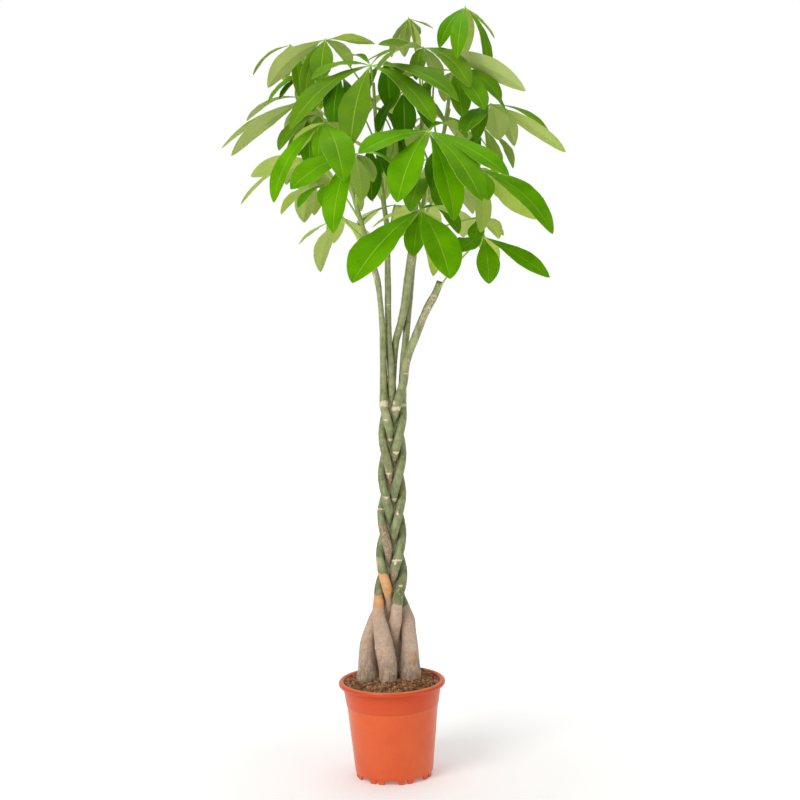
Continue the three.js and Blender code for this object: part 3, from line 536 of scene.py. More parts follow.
leafForm = {
    "backCount": 12,
    "fan": (-100, -50, 0, 50, 100),
    "usualArch": 0.12,
    "fold": 0.16,  # rise of the halves over the half width
    "crown": 0.12,  # how far the halves bulge between rib and edge
    "wave": 0.045,
    "waveTurns": 8.0,
    "halfShift": 2.0,  # how far the two halves' waves are out of step
    "thickness": 0.7,
    "clearance": 8.0,
    "leastShare": 0.75,  # of the clearance, below which a leaflet is left out
    "searchReach": 50.0,
    "plentyOfRoom": 40.0,
    "sampleStep": 9,
    "stalkStep": 7,
    "stalkRoom": 2.0,
    "nearStem": 14,  # a stalk may touch its stem this far
    "stalkRadii": (1.9, 1.3, 1.7),  # slim part, and what its foot and its head add
    "hubOverrun": 3.0,
    "depthSteps": (0, -12, 12, -24, 24, -40, 40, -60, 60, -85, 85, -110, 110),
    "sideSteps": (0, 20, -20, 45, -45, 70, -70),
    "rows": 27,
    "columns": 17,
    "stalkRows": 22,
    "ribRows": 16,
    "ribEnd": 0.96,
    "ribRadius": 0.78,
    "ribSink": 0.25,
    "stalkSides": 10,
    "toneSwing": 0.16,
    # painted shade on leaflets that hang back towards the stems, and the reach over which it grows
    "innerShade": 0.9,
    "innerShadeReach": (10, 70),
}


def backLeaf(i):
    # a leaf of the far side, whose bearing, height and size follow from its number
    bearing = math.radians(12 + 157 * ((i * 0.7549 + 0.2) % 1))
    level = 1250 + 340 * ((i * 0.5698 + 0.1) % 1)
    reach = 120 + 60 * abs(math.sin(i * 2.4))
    hub = (30 + reach * math.cos(bearing), 30 + reach * math.sin(bearing), level)
    size = 150 + 35 * math.sin(i * 1.7 + 1)
    tips = []
    for k, turn in enumerate(leafForm["fan"]):
        heading = bearing + math.radians(turn + 8 * math.sin(i + 2 * k))
        long = size * (1 - 0.0028 * abs(turn))
        out = long * 0.8
        drop = long * (0.55 + 0.12 * math.sin(i * 3 + k))
        across, back = hub[0] + out * math.cos(heading), hub[1] + out * math.sin(heading)
        tips.append((across, back, level - drop, long * 0.31))
    stem = 1 if hub[0] < -40 else 2 if hub[0] < 60 else 4
    return {"stem": stem, "at": min(level - 90, 1450) - 9 * (i % 5), "hub": hub, "tips": tips,
            "tone": 0.35 + 0.35 * math.sin(i * 1.9)}


def bladeOutline(t):
    # half width as a share of the largest, which lies past the middle
    t = np.asarray(t, float)
    body = np.abs(np.sin(math.pi * t ** 1.42)) ** 0.72
    return body * (1 - 0.6 * (1 - t) ** 4)


def bladeFrame(leaflet, t):
    # middle line, the way across and the way out of the face, at every t
    root, tip = leaflet["root"], leaflet["tip"]
    chord = tip - root
    sideways = np.array([chord[1], -chord[0], 0]) / math.hypot(chord[0], chord[1])
    size = np.linalg.norm(chord)
    control = (root + tip) / 2 + np.cross(sideways, chord / size) * 2 * leaflet["arch"] * size
    t = np.atleast_1d(np.asarray(t, float))[:, None]
    first = root + (control - root) * t
    second = control + (tip - control) * t
    spot = first + (second - first) * t
    face = np.cross(sideways, unit(second - first))
    turn = math.radians(leaflet["roll"])
    across = sideways * math.cos(turn) + face * math.sin(turn)
    outward = face * math.cos(turn) - sideways * math.sin(turn)
    return spot, across, outward


def bladeSamples(leaflet):
    form = leafForm
    rows = math.ceil(np.linalg.norm(leaflet["tip"] - leaflet["root"]) / form["sampleStep"])
    t = np.arange(1, rows + 1) / rows
    spot, across, outward = bladeFrame(leaflet, t)
    reach = 0.5 * leaflet["width"] * bladeOutline(np.minimum(t, 0.999))
    half = 0.5 * leaflet["width"] * bladeOutline(t)
    samples = []
    for row in range(rows):
        columns = math.ceil(reach[row] / form["sampleStep"])
        s = np.arange(-columns, columns + 1) / max(columns, 1)
        swing = form["waveTurns"] * t[row] + leaflet["seed"] + form["halfShift"] * np.sign(s)
        wave = form["wave"] * leaflet["width"] * np.sin(swing)
        rise = np.abs(s) * (form["fold"] * half[row] + wave * math.sin(math.pi * t[row]))
        samples.append(spot[row] + np.outer(s * half[row], across[row]) + np.outer(rise, outward[row]))
    return np.vstack(samples)


class Crown:  # what stands in the crown already: points, how thick they are and whose they are
    def __init__(self):
        self.points = np.empty((0, 3))
        self.radii = np.empty(0)
        self.owners = np.empty(0, int)

    def add(self, points, radius, owner):
        self.points = np.vstack([self.points, points])
        self.radii = np.append(self.radii, np.broadcast_to(radius, len(points)))
        self.owners = np.append(self.owners, np.full(len(points), owner))

    def room(self, points, owner, ignore=0):
        reach, plenty = leafForm["searchReach"], leafForm["plentyOfRoom"]
        near = np.all((self.points > points.min(0) - reach) & (self.points < points.max(0) + reach), axis=1)
        near &= (self.owners != owner) & (self.owners != ignore)
        if not near.any():
            return plenty
        gaps = np.linalg.norm(points[:, None] - self.points[near][None], axis=2) - self.radii[near]
        return min(plenty, gaps.min())


def bentClear(crown, root, tip, seed, owner):
    # a leaflet's tip moves nearer or further until it is clear of the leaves already placed
    x, y, z, width, arch, roll = (*tip, *(leafForm["usualArch"], 0)[len(tip) - 4:])
    best = None
    for step in leafForm["depthSteps"]:
        leaflet = {"root": root, "tip": fromElevation((x, y + step, z)), "width": width, "arch": arch,
                   "roll": roll, "seed": seed}
        samples = bladeSamples(leaflet)
        room = crown.room(samples, owner)
        if best is None or room > best[2]:
            best = (leaflet, samples, room)
        if room >= leafForm["clearance"]:
            break
    return best


def stalkLine(start, hub, sway):
    # one bow from the bark to just past the hub
    reach = hub - start
    flat = max(math.hypot(reach[0], reach[1]), 1)
    side = np.array([reach[1], -reach[0], 0]) / flat
    lifted = start * 0.58 + hub * 0.42 + np.array([0, 0, 0.12 * np.linalg.norm(reach)])
    control = lifted + side * sway
    end = hub + unit(hub - control) * leafForm["hubOverrun"]

    def along(t):
        t = np.atleast_1d(np.asarray(t, float))[:, None]
        return (start * (1 - t) + control * t) * (1 - t) + (control * (1 - t) + end * t) * t
    return along


def stalkRadius(t):
    slim, foot, head = leafForm["stalkRadii"]
    return slim + foot * (1 - t) ** 8 + head * t ** 10


def routedStalk(crown, start, hub, owner, stemOwner):
    # a stalk sways to one side until it is clear of what stands in the crown already
    best = None
    count = math.ceil(np.linalg.norm(hub - start) / leafForm["stalkStep"])
    for sway in leafForm["sideSteps"]:
        along = stalkLine(start, hub, sway)
        samples = along(np.arange(count + 1) / count)
        away = samples[np.linalg.norm(samples - start, axis=1) > leafForm["nearStem"]]
        room = crown.room(away, owner, stemOwner)
        if best is None or room > best[2]:
            best = (along, samples, room)
        if room >= leafForm["clearance"] + leafForm["stalkRoom"]:
            break
    return best


def layLeaves():
    # in the crown the leaves are owners 1, 2 ... and the stems 101, 102 ...
    crown = Crown()
    ownerOfStem = {number: 100 + number for number in range(1, len(stems) + 1)}
    upperPart = np.arange(0.35, 1.0001, 0.008)
    for number, owner in ownerOfStem.items():
        crown.add(*stems[number - 1].at(upperPart), owner)
    leaves = []
    for i, plan in enumerate([*frontLeaves, *(backLeaf(i) for i in range(leafForm["backCount"]))]):
        start = stems[plan["stem"] - 1].atHeight(plan["at"])
        hub = fromElevation(plan["hub"])
        along, samples, _ = routedStalk(crown, start, hub, i + 1, ownerOfStem[plan["stem"]])
        crown.add(samples, leafForm["stalkRoom"], i + 1)
        leaves.append({"name": f"leaf_{i + 1:02d}", "plan": plan, "hub": hub, "stalk": along, "leaflets": []})
    for i, leaf in enumerate(leaves):
        for k, tip in enumerate(leaf["plan"]["tips"]):
            leaflet, samples, room = bentClear(crown, leaf["hub"], tip, k * 1.3 + leaf["hub"][0], i + 1)
            if room >= leafForm["clearance"] * leafForm["leastShare"]:
                leaf["leaflets"].append(leaflet)
                crown.add(samples, 0.0, i + 1)
    return leaves


leaves = layLeaves()
print("leaf layout:", len(leaves), "leaves,", sum(len(leaf["leaflets"]) for leaf in leaves), "leaflets")

leafColours = {
    "fresh": (0.165, 0.46, 0.0005),
    "freshDeep": (0.095, 0.32, 0.0005),
    # painted shade on the tops of leaves inside the crown
    "crownShade": (0.045, 0.17, 0.002),
    "dull": (0.165, 0.32, 0.010),
    "dullDeep": (0.120, 0.238, 0.020),
    "vein": (0.25, 0.52, 0.006),
    # the undersides are paler than the tops, and their colours are made paler still as painted light for what
    # shines through the blade and up from the floor
    "under": (0.66, 0.72, 0.30),
    "underFresh": (0.60, 0.72, 0.13),
    # painted shade on the undersides of leaves inside the crown
    "underCrownShade": (0.26, 0.42, 0.07),
    "underVein": (0.74, 0.80, 0.38),
    "glow": (0.42, 0.66, 0.006),
    "underGlow": (0.66, 0.78, 0.10),
    "rib": (0.44, 0.67, 0.07),
    "stalk": (0.27, 0.38, 0.055),
}


def veinMask(tree):
    # the side veins, which leave the rib at an even spacing and curve towards the tip, and the rib
    uv = addNode(tree, "ShaderNodeUVMap", uv_map="leafUv").outputs[0]
    split = addNode(tree, "ShaderNodeSeparateXYZ", {0: uv})
    off = calc(tree, "ABSOLUTE", minus(tree, split.outputs[0], 0.5))
    bent = times(tree, calc(tree, "POWER", off, 0.8), 4.2)
    wobble = times(tree, grain(tree, placeOf(tree), 35.0, 1.0), 0.5)
    run = plus(tree, minus(tree, times(tree, split.outputs[1], 15.0), bent), wobble)
    gap = calc(tree, "ABSOLUTE", minus(tree, calc(tree, "FRACT", run), 0.5))
    return spread(tree, gap, 0.11, 0.0), spread(tree, off, 0.019, 0.006)


def leafSurface(name, upper):
    colours = leafColours
    material, tree, shader = newMaterial(name, 0.42 if upper else 0.6, 0.03 if upper else 0.06)
    mask, middle = veinMask(tree)
    tone = valueOf(tree, "tone")
    spots = placeOf(tree)
    patches = spread(tree, grain(tree, spots, 16.0, 3.0, 0.5, 0.4), 0.35, 0.68)
    fine = grain(tree, spots, 420.0, 2.0)
    # painted shade, as much as the tone lies below 0
    crownShade = spread(tree, tone, 0.0, -1.0)
    if upper:
        fresh = blend(tree, patches, colours["freshDeep"], colours["fresh"])
        dull = blend(tree, patches, colours["dullDeep"], colours["dull"])
        colour = coated(tree, blend(tree, tone, fresh, dull), (crownShade, colours["crownShade"]),
                        (times(tree, mask, 0.22), colours["vein"]),
                        (times(tree, middle, 0.75), colours["rib"]))
    else:
        colour = coated(tree, blend(tree, tone, colours["underFresh"], colours["under"]),
                        (crownShade, colours["underCrownShade"]), (times(tree, patches, 0.3), colours["vein"]),
                        (times(tree, mask, 0.45), colours["underVein"]),
                        (times(tree, middle, 0.8), colours["rib"]))
    rough = spread(tree, grain(tree, spots, 60.0, 3.0), 0.3, 0.7, *((0.27, 0.46) if upper else (0.5, 0.66)))
    relief = plus(tree, times(tree, mask, -0.7 if upper else 0.9), times(tree, fine, 0.25))
    puff = grain(tree, spots, 95.0, 2.0)
    normal = bumped(tree, plus(tree, relief, times(tree, puff, 0.8)), 0.35, 0.0012)
    feed(tree, shader, {"Base Color": colour, "Roughness": rough, "Normal": normal})
    # some light comes through the blade
    glow = addNode(tree, "ShaderNodeBsdfTranslucent", {
        "Color": blend(tree, 0.55, colour, colours["glow" if upper else "underGlow"]), "Normal": normal})
    mixed = addNode(tree, "ShaderNodeMixShader", {0: 0.3, 1: shader.outputs[0], 2: glow.outputs[0]})
    feed(tree, tree.nodes["Material Output"], {"Surface": mixed.outputs[0]})
    return material


def stalkSurface():
    material, tree, shader = newMaterial("leafStalk", 0.42, 0.5)
    spots = placeOf(tree, (1, 1, 0.15))
    streak = spread(tree, grain(tree, spots, 300.0, 3.0), 0.35, 0.65)
    green = blend(tree, streak, leafColours["stalk"], tuple(c * 1.35 for c in leafColours["stalk"]))
    feed(tree, shader, {"Base Color": blend(tree, valueOf(tree, "pale"), green, leafColours["rib"]),
                        "Normal": bumped(tree, streak, 0.3, 0.0006)})
    return material


def compoundLeafTree():
    # points in, a whole leaf out: blades swept along their middle lines, round stalk and ribs
    tree, given = newTree("compoundLeaf", [
        ("Fold", "Float", 0.16), ("Crown", "Float", 0.12), ("Columns", "Int", 15),
        ("Thickness", "Float", 0.0007), ("Stalk sides", "Int", 10), ("Upper finish", "Material", None),
        ("Under finish", "Material", None), ("Stalk finish", "Material", None)])
    blade = readAttribute(tree, "blade", "INT")
    across, along = readAttribute(tree, "across"), readAttribute(tree, "along")
    faceWay = readAttribute(tree, "faceWay", "FLOAT_VECTOR")

    def lines(selection):
        points = addNode(tree, "GeometryNodeMeshToPoints", {
            "Mesh": given["Geometry"], "Selection": selection})
        return addNode(tree, "GeometryNodePointsToCurves", {
            "Points": points.outputs[0], "Curve Group ID": readAttribute(tree, "strand", "INT"),
            "Weight": along}).outputs[0]

    # the cross section: a shallow V whose arms bulge a little
    span = addNode(tree, "GeometryNodeCurvePrimitiveLine", {"Start": (0, -1, 0), "End": (0, 1, 0)})
    section = addNode(tree, "GeometryNodeResampleCurve", {
        "Curve": span.outputs[0], "Count": given["Columns"]})
    spot = addNode(tree, "ShaderNodeSeparateXYZ", {0: addNode(tree, "GeometryNodeInputPosition").outputs[0]})
    section = keepAttribute(tree, section.outputs[0], "across", spot.outputs[1])
    out = calc(tree, "ABSOLUTE", across)
    bulge = times(tree, times(tree, out, minus(tree, 1.0, out)), given["Crown"])
    lift = plus(tree, times(tree, out, given["Fold"]), bulge)
    shaped = addNode(tree, "ShaderNodeCombineXYZ", {0: lift})
    section = addNode(tree, "GeometryNodeSetPosition", {"Geometry": section, "Offset": shaped.outputs[0]})

    middle = addNode(tree, "GeometryNodeSetCurveNormal", {
        "Curve": lines(blade), "Normal": faceWay}, mode="FREE").outputs[0]
    sheet = addNode(tree, "GeometryNodeCurveToMesh", {
        "Curve": middle, "Profile Curve": section.outputs[0],
        "Scale": readAttribute(tree, "thick")}).outputs[0]
    # edge waves: slow ones that the whole half follows, and a fine ripple at the margin
    swing = plus(tree, plus(tree, times(tree, along, leafForm["waveTurns"]), readAttribute(tree, "phase")),
                 times(tree, calc(tree, "SIGN", across), leafForm["halfShift"]))
    slow = times(tree, calc(tree, "SINE", swing), out)
    ripple = times(tree, calc(tree, "SINE", times(tree, swing, 4.3)),
                   times(tree, calc(tree, "POWER", out, 3.0), 0.28))
    taper = calc(tree, "SINE", times(tree, along, math.pi))
    waved = times(tree, times(tree, plus(tree, slow, ripple), taper), readAttribute(tree, "wave"))
    raised = plus(tree, waved, times(tree, given["Thickness"], 0.5))
    offset = addNode(tree, "ShaderNodeVectorMath", {
        0: faceWay, "Scale": raised}, operation="SCALE").outputs[0]
    sheet = addNode(tree, "GeometryNodeSetPosition", {"Geometry": sheet, "Offset": offset}).outputs[0]
    uv = addNode(tree, "ShaderNodeCombineXYZ", {
        0: calc(tree, "MULTIPLY_ADD", across, 0.5, 0.5), 1: along}).outputs[0]
    sheet = keepAttribute(tree, sheet, "leafUv", uv, "FLOAT2", "CORNER")
    # the underside: the sheet pushed through by its thickness, with the margin closed
    depth = times(tree, given["Thickness"], -1.0)
    under = addNode(tree, "GeometryNodeExtrudeMesh", {
        "Mesh": sheet, "Offset Scale": depth, "Individual": False})
    under = addNode(tree, "GeometryNodeFlipFaces", {"Mesh": under.outputs[0]}).outputs[0]
    both = join(tree, paint(tree, sheet, given["Upper finish"]), paint(tree, under, given["Under finish"]))
    both = addNode(tree, "GeometryNodeMergeByDistance", {"Geometry": both, "Distance": 0.00001}).outputs[0]

    ring = addNode(tree, "GeometryNodeCurvePrimitiveCircle", {
        "Resolution": given["Stalk sides"], "Radius": 1.0}).outputs[0]
    rods = addNode(tree, "GeometryNodeCurveToMesh", {
        "Curve": lines(minus(tree, 1.0, blade)), "Profile Curve": ring,
        "Scale": readAttribute(tree, "thick"), "Fill Caps": True}).outputs[0]
    rods = paint(tree, rods, given["Stalk finish"])
    closeTree(tree, smoothBelow(tree, join(tree, both, rods), 62))
    return tree


def leafPoints(leaf):
    # the points that the tree sweeps: a row per leaflet, the stalk and every rib
    labels = ("spot", "strand", "along", "thick", "faceWay", "wave", "phase", "blade", "tone", "pale")
    rows = {key: [] for key in labels}

    def addRow(spots, t, thick, outward, wave, phase, blade, tone, pale):
        count = len(t)
        strand = 1 + (rows["strand"][-1][0] if rows["strand"] else 0)
        row = {"spot": spots, "strand": np.full(count, strand), "along": t, "thick": thick * 0.001,
               "faceWay": outward, "wave": np.full(count, wave * 0.001), "phase": np.full(count, phase),
               "blade": np.full(count, int(blade)), "tone": np.full(count, float(tone)),
               "pale": np.broadcast_to(pale, count) * 1.0}
        for key, value in row.items():
            rows[key].append(value)

    form = leafForm
    t = np.linspace(0, 1, form["stalkRows"])
    cap = np.append(np.ones(form["stalkRows"] - 2), [0.8, 0.35])
    up = np.tile([0, 0, 1.0], (form["stalkRows"], 1))
    addRow(leaf["stalk"](t), t, stalkRadius(t) * cap, up, 0, 0, False, 0, 0.25 * t)
    tone = leaf["plan"]["tone"]
    for k, leaflet in enumerate(leaf["leaflets"]):
        t = (1 - np.cos(np.linspace(0, math.pi, form["rows"]))) / 2
        spot, _, outward = bladeFrame(leaflet, t)
        half = 0.5 * leaflet["width"] * bladeOutline(t)
        # painted shade: the leaflets that hang back towards the stems are shaded darker, as are the leaves
        # whose tone lies below 0
        inward = np.hypot(*spot[0, :2]) - np.hypot(*spot[-1, :2])
        inner = form["innerShade"] * smoothStep(*form["innerShadeReach"], inward)
        shade = np.clip(max(tone, 0) + form["toneSwing"] * math.sin(3.1 * k + leaflet["seed"]), 0, 1)
        if inner > 0.05 or tone < 0:
            shade = max(-1, shade + min(tone, 0) * 1.4 - inner)
        addRow(spot, t, half, outward, form["wave"] * leaflet["width"], leaflet["seed"], True, shade, 0)
        t = np.linspace(0.0, form["ribEnd"], form["ribRows"])
        spot, _, outward = bladeFrame(leaflet, t)
        rib = form["ribRadius"] * (0.28 + 0.72 * (1 - t) ** 1.1) * (1 + 0.5 * (1 - t) ** 12)
        addRow(spot - outward * form["ribSink"], t, rib, outward, 0, 0, False, 0, 0.9)
    mesh = newMesh(leaf["name"], np.vstack(rows.pop("spot")))
    setValues(mesh, {key: np.concatenate(value) for key, value in rows.items()})
    return mesh


def makeLeaves():
    tree = compoundLeafTree()
    settings = {
        "Fold": leafForm["fold"], "Crown": leafForm["crown"], "Columns": leafForm["columns"],
        "Thickness": leafForm["thickness"] * 0.001, "Stalk sides": leafForm["stalkSides"],
        "Upper finish": leafSurface("leafUpper", True), "Under finish": leafSurface("leafUnder", False),
        "Stalk finish": stalkSurface()}
    pieces = [grow(leaf["name"] + "_fine", leafPoints(leaf), tree, settings) for leaf in leaves]
    settle(pieces)
    for piece, leaf in zip(pieces, leaves):
        # no rippled margin stands out of the object's box
        movePoints(piece.data, np.clip(meshPoints(piece.data), *cadBox))
        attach(piece, "root")
        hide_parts(leaf["name"])
    print("leaves are grown:", sum(len(piece.data.polygons) for piece in pieces), "faces")


makeLeaves()

stemForm = {"samples": 3000, "ringStep": 3.2, "fineStep": 1.5, "fineSpan": (215, 870), "sides": 40,
            "lump": 0.35, "footRidge": 0.8, "corkRough": 1.0, "scarRise": 0.8,
            "ringSpacing": 43, "oldScars": (470, 1480, 41),  # from, to and step
            # a swelling is the stem's number from 0, its height, its reach and its size
            "swells": [(4, 345, 18, 1.5), (3, 352, 22, 1.5), (3, 232, 16, 1.0), (2, 228, 16, 1.0)]}

# marks on the bark, by the stem's number from 0, in elevation: a vee scar (place, half width), a band
# or a spot (place, half width, half height), a corky run (start, end, half width)
barkMarks = [
    ("band", 0, (3, 843), 14, 7), ("band", 4, (27, 832), 12, 4.5), ("spot", 4, (22, 845), 3, 5),
    ("band", 3, (42, 839), 5, 4), ("vee", 0, (3, 809), 5.5), ("band", 0, (12, 762), 7, 3),
    ("vee", 3, (24, 736), 7.5), ("vee", 2, (6, 689), 7), ("vee", 4, (-1, 635), 6.5), ("vee", 1, (17, 631), 8),
    ("spot", 0, (23, 596), 3, 4), ("band", 3, (-14, 607), 9, 1.6), ("band", 2, (23, 490), 8, 2.4),
    ("spot", 2, (15, 484), 3, 5), ("vee", 4, (26, 434), 5.5), ("spot", 1, (-28, 480), 4, 22),
    ("corky", 2, (8, 682), (13, 642), 8), ("corky", 3, (20, 716), (14, 690), 7),
    ("corky", 1, (15, 622), (8, 590), 7), ("corky", 3, (-8, 562), (4, 505), 11),
    ("corky", 3, (4, 505), (10, 440), 10), ("corky", 2, (13, 466), (6, 432), 7),
    ("spot", 0, (-13, 1122), 2.5, 9), ("corky", 2, (74, 1150), (77, 1205), 9), ("spot", 2, (70, 1172), 5, 2),
    ("spot", 2, (77, 1158), 4, 2), ("spot", 2, (72, 1190), 5, 2), ("corky", 4, (88, 1022), (104, 1054), 7),
    ("corky", 4, (108, 1064), (119, 1080), 6), ("spot", 4, (104, 1052), 7, 2.6),
    ("spot", 4, (117, 1079), 6, 2.8),
    ("corky", 4, (56, 938), (60, 925), 4), ("spot", 4, (50, 909), 5, 2.2), ("vee", 2, (27, 930), 3),
    ("vee", 1, (15, 985), 2.5), ("spot", 1, (15, 1062), 5, 1.6), ("vee", 3, (56, 1012), 2.5),
    ("vee", 2, (52, 1030), 3), ("vee", 0, (-1, 1040), 2.5), ("vee", 4, (74, 1000), 3),
]
# where each stem's green skin ends, with the span of the amber skin that lies under its end
skinEnds = [(411, 27), (462, 54), (386, 0), (386, 0), (389, 0)]
cutStem = 4  # the one that was cut off short, numbered from 0


def sweptStemTree():
    tree, given = newTree("sweptStem", [("Sides", "Int", 24), ("Finish", "Material", None)])
    points = addNode(tree, "GeometryNodeMeshToPoints", {"Mesh": given["Geometry"]}).outputs[0]
    line = addNode(tree, "GeometryNodePointsToCurves", {
        "Points": points, "Weight": readAttribute(tree, "along")}).outputs[0]
    centre = addNode(tree, "GeometryNodeInputPosition").outputs[0]
    line = keepAttribute(tree, line, "middle", centre, "FLOAT_VECTOR")
    ring = addNode(tree, "GeometryNodeCurvePrimitiveCircle", {"Resolution": given["Sides"], "Radius": 1.0})
    bark = addNode(tree, "GeometryNodeCurveToMesh", {
        "Curve": line, "Profile Curve": ring.outputs[0], "Scale": readAttribute(tree, "thick"),
        "Fill Caps": True})
    closeTree(tree, smoothBelow(tree, paint(tree, bark.outputs[0], given["Finish"]), 60))
    return tree


def softNoise(points, scale, seed):
    shift = Vector((seed * 7.3, seed * 3.1, seed * 5.7))
    return np.array([noise.noise(Vector(p) * scale + shift) for p in points])


def markOn(mark, across, up, uneven, grit):
    # how much a mark covers each place
    kind, _, spot, reach, high = *mark[:4], mark[-1]
    dx, dz = across - spot[0], up - spot[1]
    if kind == "vee":
        return smoothStep(0.6, -0.6, np.maximum(dz, -dz - (reach * 1.3 - np.abs(dx)) * 0.8) + 0.5 * uneven)
    if kind in ("band", "spot"):
        size = np.hypot(dx / (reach * (3.0 if kind == "band" else 1.0)), dz / high)
        return smoothStep(1.25, 0.75, size + 0.25 * uneven + 0.6 * grit)
    run = np.array(reach, float) - spot
    t = np.clip((dx * run[0] + dz * run[1]) / (run @ run), 0, 1)
    away = np.hypot(dx - t * run[0], dz - t * run[1]) + high * 0.4 * uneven
    return smoothStep(high * 1.1, high * 0.75, away)


def dressBark(piece, index):
    # the bark's relief, and where it is aged, corky, scarred or amber, and where a crease takes painted shade
    mesh = piece.data
    spots = toMillimetres(meshPoints(mesh))
    middle = toMillimetres(readVectors(mesh.attributes["middle"].data, "vector"))
    outward = unit(spots - middle + 1e-6)
    across, up = toElevation(spots)
    front = smoothStep(-0.15, 0.35, -outward[:, 1])
    slow = softNoise(spots, 0.02, index)
    fine = softNoise(spots, 0.16, index + 9)
    grit = softNoise(spots, 0.4, index + 12)
    tall = softNoise(spots * np.array([1, 1, 0.16]), 0.22, index + 4)
    level, amberSpan = skinEnds[index]
    skin = up + 3.0 * fine + 5 * softNoise(spots, 0.06, index + 2)
    aged = smoothStep(level + 1.0, level - 1.0, skin)
    amber = aged * smoothStep(level - amberSpan - 16, level - amberSpan + 14, skin) * (amberSpan > 0)
    values = {"corky": np.zeros(len(spots)), "scar": np.zeros(len(spots)), "amber": amber}
    for mark in barkMarks:
        if mark[1] == index:
            kind = "corky" if mark[0] == "corky" else "scar"
            whole = 1.0 if mark[0] == "band" else front
            values[kind] = np.maximum(values[kind], markOn(mark, across, up, fine, grit) * whole)
    # old leaf scars round the sides and back, one to each step, turned and raised at random
    rng = np.random.default_rng(40 + index)
    bearing = np.arctan2(outward[:, 0], -outward[:, 1])
    for height in np.arange(*stemForm["oldScars"]):
        turn = math.radians(110 + rng.uniform(0, 140))
        bend = np.abs(np.angle(np.exp(1j * (bearing - turn)))) * 9
        lift = up - height - rng.uniform(-9, 9)
        scar = smoothStep(0.8, -0.8, np.maximum(lift, -lift - (6.5 - bend) * 0.75))
        values["scar"] = np.maximum(values["scar"], 0.85 * scar)
    spacing = stemForm["ringSpacing"]
    nearest = spacing * np.round(up / spacing + 0.3 * slow)
    rings = np.exp(-((up - nearest) / 2.6) ** 2) * smoothStep(440, 470, up)
    foot = smoothStep(300, 225, up)
    wrinkle = softNoise(spots * np.array([0.3, 0.3, 1]), 0.42, index + 6) * smoothStep(400, 370, up)
    shift = (stemForm["lump"] * slow * 2 + stemForm["scarRise"] * values["scar"] * (0.6 + 0.4 * fine)
             + stemForm["corkRough"] * values["corky"] * (0.3 + 1.4 * fine + 0.5 * tall) + 0.3 * rings
             + foot * stemForm["footRidge"] * (1.3 * tall + 0.8 * fine) + 0.3 * wrinkle + 0.12 * tall)
    for which, height, reach, size in stemForm["swells"]:
        shift += (which == index) * size * np.exp(-((up - height) / reach) ** 2)
    shift *= smoothStep(1.0, 3.0, np.linalg.norm(spots - middle, axis=1))
    # painted shade in the creases, where this stem lies close to another
    creaseShade = np.zeros(len(spots))
    for other, stem in enumerate(stems):
        if other != index:
            line, radii = stem.at(np.linspace(0, 0.75, 260))
            tree = KDTree(len(line))
            for k, place in enumerate(line):
                tree.insert(place, k)
            tree.balance()
            found = [tree.find(place)[1:] for place in spots]
            near = np.array([distance - radii[k] for k, distance in found])
            creaseShade = np.maximum(creaseShade, smoothStep(8.5 + 8 * smoothStep(345, 270, up), 0.5, near) ** 1.3)
    cut = (spots[:, 2] > stems[index].points[-1, 2] - 4) * (index == cutStem) * 1.0
    setValues(mesh, {**values, "aged": aged, "creaseShade": creaseShade, "low": foot,
                     "rise": np.clip((up - 400) / 1100, 0, 1), "cut": cut})
    movePoints(mesh, toMetres(spots + outward * shift[:, None]))


barkColours = {
    "green": (0.222, 0.255, 0.098),
    "greenDeep": (0.102, 0.132, 0.045),
    # painted sheen
    "sheen": (0.38, 0.415, 0.245),
    "tan": (0.30, 0.225, 0.115),
    "youngGreen": (0.44, 0.465, 0.215),
    "shootGreen": (0.27, 0.345, 0.075),
    "buff": (0.52, 0.385, 0.28),
    "buffPale": (0.64, 0.48, 0.37),
    "buffDeep": (0.27, 0.185, 0.125),
    "rust": (0.60, 0.30, 0.12),
    "corky": (0.19, 0.13, 0.075),
    "corkyMid": (0.42, 0.31, 0.19),
    "corkyPale": (0.66, 0.55, 0.37),
    "scar": (0.76, 0.60, 0.42),
    "scarYoung": (0.60, 0.56, 0.40),
    "scarPink": (0.76, 0.36, 0.27),
    "amber": (0.66, 0.32, 0.13),
    "amberPale": (0.78, 0.42, 0.17),
    "cutWood": (0.16, 0.11, 0.07),
    # the colour of the painted shade in the creases, also used for the dark flecks of the old skin
    "creaseShade": (0.05, 0.038, 0.022),
}


def greenSkin(tree, mottle):
    # smooth young skin: grey green, lighter in long patches and streaks of painted sheen, finely freckled
    colours = barkColours
    patches = grain(tree, placeOf(tree, (1, 1, 0.3)), 38.0, 3.0, 0.5)
    low = coated(tree, blend(tree, spread(tree, mottle, 0.36, 0.64), colours["greenDeep"], colours["green"]),
                 (spread(tree, patches, 0.48, 0.70, 0.0, 0.75), colours["sheen"]),
                 (spread(tree, patches, 0.46, 0.32, 0.0, 0.65), colours["tan"]))
    young = blend(tree, spread(tree, mottle, 0.3, 0.7), colours["green"], colours["youngGreen"])
    rise = valueOf(tree, "rise")
    streaks = grain(tree, placeOf(tree, (1, 1, 0.12)), 150.0, 3.0, 0.5)
    skin = coated(tree, blend(tree, rise, low, young),
                  (spread(tree, rise, 0.68, 0.84, 0.0, 0.85), colours["shootGreen"]),
                  (spread(tree, streaks, 0.52, 0.70, 0.0, 0.4), colours["sheen"]),
                  (spread(tree, streaks, 0.46, 0.30, 0.0, 0.4), colours["greenDeep"]))
    for size, strength in ((260.0, 0.35), (115.0, 0.6)):
        freckles = addNode(tree, "ShaderNodeTexVoronoi", {
            "Vector": placeOf(tree, (1, 1, 0.6)), "Scale": size})
        dots = spread(tree, freckles.outputs["Distance"], 0.2, 0.08, 0.0, strength)
        skin = blend(tree, dots, skin, colours["corkyPale"])
    return skin


def crossWrinkles(tree):
    return grain(tree, placeOf(tree, (0.55, 0.55, 1.3)), 190.0, 5.0, 0.65, 1.5)


